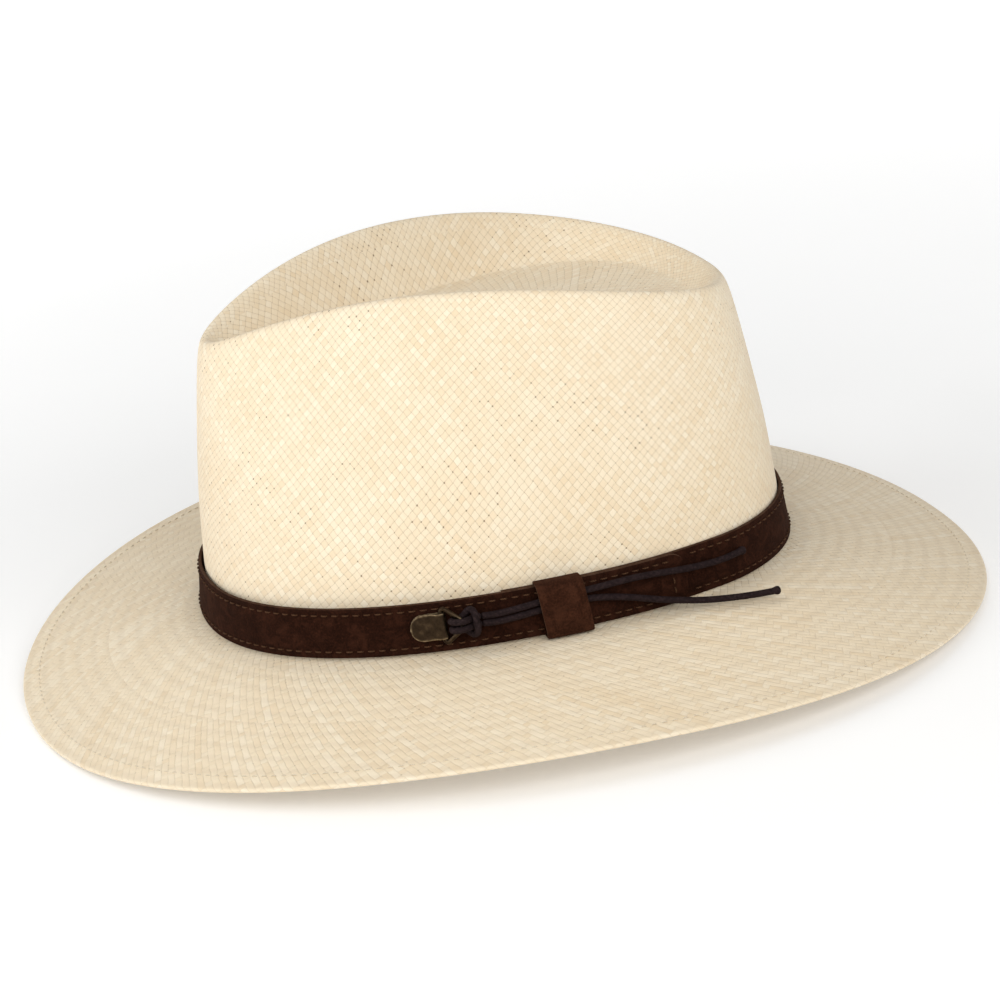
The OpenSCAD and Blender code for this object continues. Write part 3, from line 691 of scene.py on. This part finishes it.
def floor_material():
    n = Nodes("floor")
    paper = n.noise(3.0, 4, 0.6)
    color = n.ramp(paper, [(0.3, (0.90, 0.90, 0.895)), (0.7, (0.93, 0.93, 0.925))])
    # The sweep glows a little, more so away from the hat where the softboxes don't reach
    spread = n.node("TexGradient", gradient_type="SPHERICAL")
    n.link(n.stretch((0.5, 0.5, 0.5)), spread.inputs["Vector"])
    n.link(n.ramp(spread.outputs[1], [(0.0, (0.7, 0.7, 0.7)), (0.5, (0.5, 0.5, 0.5)),
                                      (0.87, (0.16, 0.16, 0.16))]),
           n.shader.inputs["Emission Color"])
    return n.finish(color, 0.85, specular_ior_level=0.2, emission_strength=1.0)


# ----------------------------------------
# Cord: the doubled length from the hitch through the keeper

HITCH_HALF = [
    (12.6, 1.2, 1.5), (11.2, 1.2, 1.4), (9.8, 1.2, 2.3), (8.7, 1.3, 4.0), (7.1, 1.2, 5.7),
    (4.4, 1.4, 5.5), (2.9, 1.4, 4.1), (2.9, 1.3, 2.1), (5.0, 1.1, 1.0), (7.3, 2.3, 1.4),
    (8.8, 4.1, 1.6), (10.4, 4.3, 2.7), (11.3, 2.1, 4.6), (11.0, 0.5, 4.5)]
SNUG, OVER = 1.35, 1.8
UPPER_ON_BAND = [
    (79.2, 10.6, SNUG), (85.2, 12, SNUG), (90, 12.6, SNUG), (93, 12.9, SNUG),
    (96.7, 13.1, 1.5), (100.3, 13.5, OVER), (106.2, 12.6, OVER), (110.5, 11.6, OVER),
    (115.5, 10.5, SNUG), (121.5, 9.8, SNUG), (127.5, 10, SNUG)]
LOWER_ON_BAND = [(79.2, 8.1, SNUG), (85.2, 9.4, SNUG), (90, 10.1, SNUG), (93, 10.2, SNUG)]
LOWER_FREE = [
    (85.8, 17.7, 8.2), (86.3, 25.5, 5.8), (87, 33, 3.8), (87.6, 41, 2), (88, 48.5, 0.8),
    (88, 58, -0.3), (87.5, 65, -1), (87, 71, -1.3)]


def braided(name, path, materials, wrap=6, bead=False):
    """A round braid: a tube whose surface follows two families of interlaced strands."""
    sides = 30
    path, s = resample(path, 0.25)
    turn = np.arange(sides) / sides
    lead = math.pi * CORD_D
    p = wrap * (turn[None] + s[:, None] / lead)
    q = wrap * (turn[None] - s[:, None] / lead)
    cell = np.floor(p) + np.floor(q)
    on_p = np.mod(cell, 2) < 1
    across = np.where(on_p, q % 1, p % 1)
    along = np.where(on_p, p % 1, q % 1)
    height = (1 - np.abs(2 * across - 1) ** 3) * (1 - 0.5 * np.abs(2 * along - 1) ** 3)
    radius = CORD_D / 2 * (0.93 + 0.08 * height)
    end = np.clip(np.minimum(s, s[-1] - s) / 0.7, 0, 1)
    radius *= np.sqrt(1 - (1 - end) ** 2 * 0.8)[:, None]
    if bead:
        swell = np.exp(-((s[-1] - s - 1.1) / 0.9) ** 2)
        radius *= (1 + 0.32 * swell)[:, None]
    sections = tube_sections(path, radius, sides)
    points, faces = loft_arrays(sections)
    uv = []
    for k in range(len(path) - 1):
        s0, s1 = s[k] / lead, s[k + 1] / lead
        for j in range(sides):
            u0, u1 = j / sides, (j + 1) / sides
            uv += [(wrap * (u + v), wrap * (u - v))
                   for u, v in ((u0, s0), (u0, s1), (u1, s1), (u1, s0))]
    uv += [(0.5, 0.5)] * (2 * sides)
    return mesh_object(name, points, faces, materials, uv=uv), path


def make_cords(cord):
    half = np.array(HITCH_HALF)
    route = clip_points(np.concatenate([half, (half * [1, -1, 1])[::-1]]))
    hitch_path = curve_points(route)
    hitch, hitch_path = braided("cord_hitch_bight", hitch_path, [cord])
    add(hitch, "ring", "cord_hitch", slot="cord_braid")
    tail = np.array(LOWER_FREE) + [0, 0, LIFT]
    for name, side, on_band, free, node in (
            ("cord_strand_upper", 1, UPPER_ON_BAND, np.zeros((0, 3)), "cord_upper_strand"),
            ("cord_strand_lower", -1, LOWER_ON_BAND, tail, "cord_lower_strand")):
        start = clip_points([(half[0][0], side * half[0][1], half[0][2])])
        band = np.array([strap_at(360 + u, z, off) for u, z, off in on_band])
        path = curve_points(np.concatenate([start, band, free]))
        piece, path = braided(name, path, [cord], bead=True)
        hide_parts(node)
        hold = strap_at(360 + 84.5, 10.5, SNUG)
        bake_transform(piece)


# ----------------------------------------
# Straw body

AROUND = 320
CROWN_ROWS = 84
# The hem's fold rounds the edge off, in this many steps
HEM_FOLD_R = HEM_STACK * STRAW_T / 2
HEM_FOLD_STEPS = 6
BRIM_T = np.concatenate([np.linspace(0, 0.86, 30)[1:],
                         np.linspace(0.88, 1 - HEM_FOLD_R / (BRIM_W - FOOT_REACH), 9)])
# Straws round the hat, in steps that keep each straw about 2 mm wide: the perimeter in
# millimetres up to which each count holds
STRAW_COUNTS = [(300, 8), (380, 10), (455, 12), (650, 16), (810, 20), (2000, 26)]


def brim_rows(p):
    """Rows across the brim from the crown's foot out to the edge, at mid thickness."""
    ripple = 0.25 * sin_d(5 * p + 40) + 0.2 * sin_d(9 * p + 110)
    return [with_z(row, row[:, 2] + ripple * t * (1 - t) * 2)
            for t in BRIM_T for row in [brim_at(p, t)]]


def straw_profile():
    """Rows from the dent's middle line out to the brim's edge, at mid thickness."""
    p = np.arange(AROUND) * 360 / AROUND
    controls = crown_controls(p)
    crown = [spline_at(controls, t) for t in np.linspace(1, 0, CROWN_ROWS)]
    return np.array(crown + brim_rows(p))


def row_normals(rows):
    out = np.gradient(rows, axis=0)
    ring = np.roll(rows, -1, 1) - np.roll(rows, 1, 1)
    normal = np.cross(out, ring)
    # The dent's middle line has no ring to take a normal from
    normal[0] = (0, 0, 1)
    return unit(normal)


def weave_uv(rows):
    """For each row the distance coordinate and, between rows, the count of straws."""
    perimeter = np.linalg.norm(np.roll(rows, -1, 1) - rows, axis=2)
    total = perimeter.sum(1)
    turn = np.concatenate([np.zeros((len(rows), 1)), np.cumsum(perimeter, axis=1)], axis=1)
    turn = turn / total[:, None]
    step = np.linalg.norm(np.diff(rows, axis=0), axis=2).mean(1)
    v = np.concatenate([[0], np.cumsum(2 * step / (total[1:] + total[:-1]))])
    v = np.repeat(v[:, None], rows.shape[1] + 1, 1)
    counts = [next(c for top, c in STRAW_COUNTS if (total[k] + total[k + 1]) / 2 < top)
              for k in range(len(rows) - 1)]
    return turn, v, counts


def make_straw_body(crown_straw, brim_straw):
    rows = straw_profile()
    normal = row_normals(rows)
    brim_edge = len(rows) - 1
    hem_start = next(k for k in range(len(rows)) if
                     np.linalg.norm(rows[k] - rows[-1], axis=1).mean() < HEM_W)
    outer = rows + normal * STRAW_T / 2
    flat = unit(rows[-1] - rows[-2])
    fold = [rows[-1] + normal[-1] * (STRAW_T / 2 - HEM_FOLD_R * (1 - cos_d(a)))
            + flat * HEM_FOLD_R * sin_d(a)
            for a in np.linspace(0, 180, HEM_FOLD_STEPS + 1)[1:-1]]
    hem = [rows[k] + normal[k] * (STRAW_T / 2 - 2 * HEM_FOLD_R)
           for k in range(brim_edge, hem_start - 1, -1)]
    under = [rows[k] - normal[k] * STRAW_T / 2 for k in range(hem_start - 1, -1, -1)]
    skin = np.concatenate([outer, fold, hem, under])
    n_rows = len(skin)
    turn, v, counts = weave_uv(rows)
    # Round the fold the distance goes on in shares of the edge's length, then back inwards
    edge_length, under_shift = 1000, 0.01
    fold_mm = np.arange(1, HEM_FOLD_STEPS) * HEM_FOLD_R * math.pi / HEM_FOLD_STEPS
    fold_v = fold_mm[:, None] / edge_length + v[-1]
    all_v = np.concatenate([v, fold_v, 2 * v[-1] - v[::-1] + under_shift])
    all_turn = np.concatenate([turn, np.repeat(turn[-1:], HEM_FOLD_STEPS - 1, 0), turn[::-1]])
    all_counts = counts + [counts[-1]] * HEM_FOLD_STEPS + counts[::-1]

    def index(k, i):
        i %= AROUND
        if k == 0 or k == n_rows - 1:
            i = min(i, AROUND - i)
        return k * AROUND + i

    run, climb = SPIRAL
    # Where the weave starts in its cells, so that rings with other counts don't line up
    start = (0.37, 0.21)
    faces, uv, marks = [], [], []
    for k in range(n_rows - 1):
        c = all_counts[k]
        on_brim = CROWN_ROWS <= k < n_rows - CROWN_ROWS
        for i in range(AROUND):
            corners = [(k, i), (k + 1, i), (k + 1, i + 1), (k, i + 1)]
            face = [index(*x) for x in corners]
            keep = [x for x, f in enumerate(face) if f not in face[:x]]
            if len(keep) < 3:
                continue
            faces.append(tuple(face[x] for x in keep))
            marks.append(1 if on_brim else 0)
            for x in keep:
                row, col = corners[x]
                u, w = all_turn[row][col], all_v[row][col]
                uv.append((c * (run * u + climb * w + start[0]),
                           c * (run * w - climb * u + start[1])))
    points = skin.reshape(-1, 3)
    used = sorted({i for f in faces for i in f})
    number = {i: k for k, i in enumerate(used)}
    faces = [tuple(number[i] for i in f) for f in faces]
    body = mesh_object("woven_straw_body", points[used], faces, [crown_straw, brim_straw],
                       face_material=marks, uv=uv)
    add(body, "hat", "straw_body", slot="toquilla_straw")


def make_hem_stitching(thread):
    def place(p, off=0.0):
        t = 1 - HEM_STITCH_IN / (BRIM_W - FOOT_REACH)
        here, there = brim_at(p, t), brim_at(p, t + 0.02)
        ring = brim_at(p + 0.5, t) - brim_at(p - 0.5, t)
        up = unit(np.cross(there - here, ring))
        return here + up * (STRAW_T / 2 + np.asarray(off))[..., None]

    u, s = arc_length(place, 0, 360)
    piece = stitches("hem_stitches", lambda d, off: place(np.interp(d, s, u), off),
                     s[-1], 3.4, 2.1, 0.36, [thread])
    add(piece, "hat", "brim_hem_stitching", slot="hem_thread")


# ----------------------------------------
# Hat band

def strap_half(u):
    left_mm = np.radians(STRAP_LAST - u) * BAND_B
    s = np.minimum(1, left_mm / END_ROUND)
    return BAND_H / 2 - END_ROUND * (1 - np.sqrt(1 - (1 - s) ** 2)) * 0.9


def make_hat_band(suede, edge):
    u = np.concatenate([np.arange(LAP_START, STRAP_LAST - 3.4, 1.2),
                        STRAP_LAST - np.array([3.4, 2.8, 2.2, 1.7, 1.2, 0.8, 0.4, 0.15, 0.02])])
    # The edges round over by soft, from this share of the half height on, and the stitches
    # pull a groove into the face
    soft, soft_from, groove_depth, groove_half = 0.3, 0.96, 0.13, 0.45
    rows = (BAND_LOW + STITCH_IN, BAND_LOW + BAND_H - STITCH_IN)
    # Heights round the section, as shares of the strap's half height
    rise = np.concatenate([[-1.0], np.linspace(-0.97, 0.97, 25), [1.0]])
    inset = soft * (np.maximum(0, np.abs(rise) - soft_from) / (1 - soft_from)) ** 2
    sections = []
    for a, h in zip(u, strap_half(u)):
        z = BAND_MID + rise * h
        groove = groove_depth * sum(np.exp(-((z - row) / groove_half) ** 2) for row in rows)
        face = [strap_at(a, *x) for x in zip(z, -inset - groove)]
        back = [strap_at(a, *x) for x in zip(z[::-1], (inset - BAND_T)[::-1])]
        sections.append(face + back)
    m = len(sections[0])
    top, low = len(rise) - 1, m - 1
    rim = {top - 1, top, top + 1, low, low - 1, 0, m // 2}
    marks = [1 if j in rim else 0 for _ in range(len(sections) - 1) for j in range(m)] + [1, 1]
    piece = loft("suede_hat_band", sections, [suede, edge], face_material=marks)
    add(piece, "hat", "hat_band", slot="suede")


def make_band_stitching(thread):
    for name, z, node in (
            ("band_stitches_upper", BAND_LOW + BAND_H - STITCH_IN, "band_upper_stitching"),
            ("band_stitches_lower", BAND_LOW + STITCH_IN, "band_lower_stitching")):
        u, s = arc_length(lambda a, z=z: strap_at(a, z), STRAP_END + 2, STRAP_LAST - 2.2)

        def place(d, off, z=z, u=u, s=s):
            return strap_at(np.interp(d, s, u), z, np.asarray(off) - 0.1)

        piece = stitches(name, place, s[-1], 3.7, 2.7, 0.58, [thread])
        add(piece, "hat", node, slot="band_thread")
    # The short row down the lapped end
    low, high = BAND_LOW + STITCH_IN + 1, BAND_LOW + BAND_H - STITCH_IN - 1

    def down(d, off):
        return strap_at(STRAP_LAST - 3 + 0 * d, low + d, np.asarray(off) - 0.02)

    piece = stitches("strap_end_stitches", down, high - low + 1, 3.1, 2.4, 0.62, [thread])
    add(piece, "hat", "strap_end_stitching", slot="band_thread")


# ----------------------------------------
# Keeper loop

def closed_curve(points, count):
    """A smooth closed line through rounded corners (Chaikin's corner cutting)."""
    points = np.array(points, float)
    for _ in range(4):
        after = np.roll(points, -1, 0)
        points = np.stack([points * 0.75 + after * 0.25, points * 0.25 + after * 0.75],
                          axis=1).reshape(-1, points.shape[1])
    loop = np.concatenate([points, points[:1]])
    s = np.concatenate([[0], np.cumsum(np.linalg.norm(np.diff(loop, axis=0), axis=1))])
    at = np.linspace(0, s[-1], count, endpoint=False)
    return np.stack([np.interp(at, s, loop[:, k]) for k in range(2)], axis=1)


def make_keeper(suede, edge):
    low, high = BAND_LOW - 0.25 - KEEPER_BACK_T / 2, BAND_LOW + BAND_H + 0.35 + KEEPER_T / 2
    back, front = -KEEPER_BACK - KEEPER_BACK_T / 2, KEEPER_FRONT + KEEPER_T / 2
    line = closed_curve([
        (back, low), (back, low + 6), (back, high - 6), (back, high), (0.3, high + 0.1),
        (front - 0.7, high - 0.2), (front, high - 2.6), (front + 0.1, 9.0), (front, low + 2.6),
        (front - 0.7, low + 0.2), (0.3, low)], 96)
    way = np.roll(line, -1, 0) - np.roll(line, 1, 0)
    normal = unit(np.stack([-way[:, 1], way[:, 0]], axis=1))
    thick = np.where(line[:, 0] < 0.1, KEEPER_BACK_T, KEEPER_T)[:, None]
    # The loop leans by tilt, its cut edges round over rim_w down to rim_t of the thickness
    # and its front puffs out
    tilt, rim_w, rim_t, puff_out = -0.1, 0.35, 0.35, 0.1
    sections = []
    half = KEEPER_W / 2
    rounded = np.array([half, half - 0.06, half - 0.2])
    across = np.concatenate([-rounded, np.linspace(0.45 - half, half - 0.45, 15), rounded[::-1]])
    for s in across:
        rim = min(1.0, (half - abs(s)) / rim_w)
        share = rim_t + (1 - rim_t) * math.sqrt(1 - (1 - rim) ** 2)
        puff = puff_out * (1 - (s / half) ** 2)
        skin = []
        for way_out in (1, -1):
            ring = line + normal * way_out * thick / 2 * share
            z = ring[:, 1]
            x = ring[:, 0] + np.where(line[:, 0] > 1, puff, 0)
            radius = KEEPER_R + x - BAND_LEAN * z / BAND_H
            turn = KEEPER_TURN + (s + tilt * (z - BAND_MID)) / KEEPER_R
            skin.append(stack(KEEPER_AXIS[0] + radius * np.cos(turn),
                              KEEPER_AXIS[1] + radius * np.sin(turn), LIFT + z))
        sections.append(skin)
    sections = np.array(sections)
    n, m = len(across), line.shape[0]
    points = sections.transpose(1, 0, 2, 3).reshape(-1, 3)
    faces, marks = [], []

    def index(side, k, j):
        return side * n * m + k * m + j % m

    for k in range(n - 1):
        for j in range(m):
            faces.append((index(0, k, j), index(0, k + 1, j), index(0, k + 1, j + 1),
                          index(0, k, j + 1)))
            faces.append((index(1, k, j), index(1, k, j + 1), index(1, k + 1, j + 1),
                          index(1, k + 1, j)))
            marks += [1 if k in (0, n - 2) else 0] * 2
    for k, flip in ((0, False), (n - 1, True)):
        for j in range(m):
            face = (index(0, k, j), index(0, k, j + 1), index(1, k, j + 1), index(1, k, j))
            faces.append(face[::-1] if flip else face)
            marks.append(1)
    piece = mesh_object("suede_keeper_loop", points, faces, [suede, edge], face_material=marks)
    add(piece, "keeper", "keeper_loop", slot="keeper_suede")


# ----------------------------------------
# Clip and D-ring

def make_clip(brass):
    rivet_head = 0.4
    low = FACE_GAP + PLATE_T + rivet_head + 0.05
    end_x, shoulder = -CLIP_LEN + CLIP_WID / 2, -2.4
    fold_half = RING_H / 2 - BAR_R - CORNER_R - 0.3
    leaf = np.linspace(-CLIP_LEN, -1.2, 26)
    rise = low + smooth((leaf + 3.4) / 2.4) * (HINGE_Z + FOLD_R - PLATE_T - low - 0.06)
    turn = np.radians(np.linspace(96, -84, 22))
    upper = [(x, z + PLATE_T) for x, z in zip(leaf, rise)]
    barrel = [(FOLD_R * math.cos(a), HINGE_Z + FOLD_R * math.sin(a)) for a in turn]
    floor = [(x, FACE_GAP) for x in np.linspace(-0.6, -CLIP_LEN, 20)]
    floor_in = [(x, FACE_GAP + PLATE_T) for x in np.linspace(-CLIP_LEN, -0.6, 20)]
    inside = [(FOLD_IN * math.cos(a), HINGE_Z + FOLD_IN * math.sin(a)) for a in turn[::-1]]
    lower = [(x, z) for x, z in zip(leaf[::-1], rise[::-1])]
    outline = np.array(upper + barrel + floor + floor_in + inside + lower)

    def half_width(x):
        if x < end_x:
            return math.sqrt(max(0.04, (CLIP_WID / 2) ** 2 - (end_x - x) ** 2))
        return CLIP_WID / 2 + (fold_half - CLIP_WID / 2) * float(smooth((x - shoulder + 1) / 1.6))

    across = np.concatenate([[-1], np.linspace(-0.94, 0.94, 15), [1]])
    sections, wear = [], []
    for f in across:
        ring = []
        for x, z in outline:
            ring.append((x, f * half_width(x), z))
            # Rubbed bright along the sides and at the tip, and less on the fold, where the lighter
            # colour is partly wear and partly a painted highlight
            near = 1 - min(1.0, (1 - abs(f)) * half_width(x) / 0.7)
            tip = 1 - min(1.0, (x + CLIP_LEN) / 0.9)
            fold = smooth((x - 0.2) / 1.4) * 0.45
            wear.append(max(near, tip, float(fold)))
        sections.append(clip_points(ring))
    piece = loft("brass_ring_clip", sections, [brass], wear=wear)
    bevel = piece.modifiers.new("edges", "BEVEL")
    bevel.width, bevel.segments, bevel.limit_method = 0.12 * MM, 2, "ANGLE"
    bevel.angle_limit = math.radians(50)
    add(piece, "hat", "ring_clip", slot="antique_brass")


def make_d_ring(brass):
    bar = RING_H / 2 - BAR_R
    corner = np.array([CORNER_R, bar - CORNER_R])
    bow = np.array([RING_REACH - BAR_R - BOW_R, 0])
    way = bow - corner
    leg = math.degrees(math.atan2(way[1], way[0])
                       + math.acos((CORNER_R - BOW_R) / np.linalg.norm(way)))
    flat = [corner + CORNER_R * np.array([cos_d(a), sin_d(a)]) for a in np.linspace(180, leg, 12)]
    flat += [bow + BOW_R * np.array([cos_d(a), sin_d(a)]) for a in np.linspace(leg, -leg, 30)]
    flat += [(corner + CORNER_R * np.array([cos_d(a), sin_d(a)])) * [1, -1]
             for a in np.linspace(leg, 180, 12)]
    flat += [np.array([0, y]) for y in np.linspace(-corner[1], corner[1], 12)[1:-1]]
    flat = np.array(flat)
    c, s = cos_d(RING_LIFT), sin_d(RING_LIFT)
    path = np.stack([flat[:, 0] * c, flat[:, 1], HINGE_Z + flat[:, 0] * s], axis=1)
    way = unit(np.roll(path, -1, 0) - np.roll(path, 1, 0))
    up = np.array([-s, 0, c])
    side = np.cross(way, up)
    turn = np.arange(20) * math.pi / 10
    sections = path[:, None] + BAR_R * (side[:, None] * np.cos(turn)[None, :, None]
                                        + up * np.sin(turn)[None, :, None])
    sections = clip_points(sections.reshape(-1, 3)).reshape(sections.shape)
    # The bow is painted lighter outwards, partly as wear and partly as a painted highlight
    wear = np.repeat(np.clip((flat[:, 0] - 4.5) / 4, 0, 0.6), 20)
    piece = loft("brass_d_ring", sections, [brass], closed=True, wear=wear)
    add(piece, "ring", "d_ring", slot="antique_brass")


# ----------------------------------------
# Inside of the crown

def make_sweatband(leather, thread, reed, label):
    p = np.linspace(0, 360, 240, endpoint=False)
    out = -(STRAW_T / 2 + SWEAT_GAP)
    heights = np.linspace(SWEAT_LOW, SWEAT_H, 12)
    wall_out = [low_wall(p, 0 * p + z, out) for z in heights]
    wall_in = [low_wall(p, 0 * p + z, out - SWEAT_T) for z in heights[::-1]]
    rows = np.array(wall_out + wall_in).transpose(1, 0, 2)
    piece = loft("leather_sweatband", rows, [leather], closed=True)
    add(piece, "hat", "sweatband", slot="sweatband_leather")

    def place(a, z, off=0.0):
        a = np.asarray(a, float)
        return low_wall(a, 0 * a + z, out - SWEAT_T - off)

    stitch_z = 3
    u, s = arc_length(lambda a: place(a, stitch_z), 0, 360)
    piece = stitches("sweatband_stitches", lambda d, off: place(np.interp(d, s, u), stitch_z, off),
                     s[-1], 4.0, 2.8, 0.45, [thread])
    add(piece, "hat", "sweatband_stitching", slot="sweatband_thread")

    label_angle, label_half, label_low, label_high = 168, 15, 8, 21
    at = label_angle + np.linspace(-1, 1, 24) * label_half / CROWN_A * 180 / math.pi
    face = [place(at, z, 0.65) for z in np.linspace(label_low, label_high, 5)]
    back = [place(at, z, 0.35) for z in np.linspace(label_high, label_low, 5)]
    rows = np.array(face + back).transpose(1, 0, 2)
    uv = [(2.2 * a, 2.2 * b) for k in range(len(at) - 1) for j in range(10)
          for a, b in ((k, j), (k + 1, j), (k + 1, j + 1), (k, j + 1))] + [(0, 0)] * 20
    piece = loft("size_label_patch", rows, [label], uv=uv)
    add(piece, "hat", "size_label", slot="label_cloth")

    for node, material in (("sweatband_reed", reed), ("sweatband_seam_stitching", thread)):
        carry(node, material)


def carry(node, material):
    """Gives a CAD node that stays in sight its own material."""
    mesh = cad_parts[node].data
    mesh.materials.clear()
    mesh.materials.append(material)


# ----------------------------------------
# Studio

def make_stage():
    size = 6.0
    mesh = bpy.data.meshes.new("floor")
    mesh.from_pydata([(-size, -size, 0), (size, -size, 0), (size, size, 0), (-size, size, 0)],
                     [], [(0, 1, 2, 3)])
    mesh.materials.append(floor_material())
    floor = bpy.data.objects.new("floor", mesh)
    bpy.context.scene.collection.objects.link(floor)
    world = bpy.data.worlds.new("studio")
    world.use_nodes = True
    world.node_tree.nodes["Background"].inputs["Color"].default_value = (1, 1, 1, 1)
    world.node_tree.nodes["Background"].inputs["Strength"].default_value = 0.42
    bpy.context.scene.world = world
    # Softboxes by azimuth (0 in front of the hat, 90 on the wearer's left) and elevation
    for name, azimuth, elevation, power in (("side", 0, 20, 20.5), ("key", 75, 30, 12.5),
                                            ("fill", 110, 35, 17.5), ("top", 0, 60, 7.5)):
        away = 2.4 * np.array([sin_d(azimuth) * cos_d(elevation),
                               -cos_d(azimuth) * cos_d(elevation), sin_d(elevation)])
        data = bpy.data.lights.new(name, "AREA")
        data.size, data.energy = 1.4, power
        light = bpy.data.objects.new(name, data)
        light.location = away.tolist()
        light.rotation_mode = "QUATERNION"
        light.rotation_quaternion = (Vector((0, 0, 0.06)) - Vector(away)).to_track_quat("-Z", "Y")
        bpy.context.scene.collection.objects.link(light)
    bpy.context.scene.view_settings.view_transform = "Standard"


# ----------------------------------------

make_camera()
cord = cord_material()
make_cords(cord)

crown_straw = straw_material("toquilla_straw_crown", floats=(1.0, 1.0), line=0.95, rib=0.0,
                             hole_shade=0.85, spread=0.5)
brim_straw = straw_material("toquilla_straw_brim", floats=(1.0, 3.0), line=0.34, rib=0.6,
                            hole_shade=0.3, spread=0.15)
suede = suede_material("band_suede", (0.006, 0.0018, 0.0009), (0.018, 0.0054, 0.0026),
                       (0.046, 0.0155, 0.0080))
cut_edge = suede_material("suede_cut_edge", (0.030, 0.014, 0.008), (0.055, 0.028, 0.017),
                          (0.10, 0.056, 0.036), edge=0.2)
keeper_suede = suede_material("keeper_suede", (0.013, 0.0044, 0.0022), (0.033, 0.0112, 0.0055),
                              (0.068, 0.0250, 0.0128))
band_thread = thread_material("band_thread", (0.030, 0.0125, 0.0055), (0.092, 0.043, 0.020))
hem_thread = thread_material("hem_thread", (0.62, 0.54, 0.41), (0.78, 0.69, 0.55))
liner_thread = thread_material("sweatband_thread", (0.36, 0.26, 0.16), (0.60, 0.47, 0.30))
brass = brass_material()

make_straw_body(crown_straw, brim_straw)
make_hem_stitching(hem_thread)
make_hat_band(suede, cut_edge)
make_band_stitching(band_thread)
make_keeper(keeper_suede, cut_edge)
make_clip(brass)
make_d_ring(brass)
make_sweatband(leather_material(), liner_thread, reed_material(), label_material())
for node, material in (("band_tacks", band_thread), ("keeper_seam_stitching", band_thread),
                       ("clip_rivet", brass)):
    carry(node, material)
make_stage()
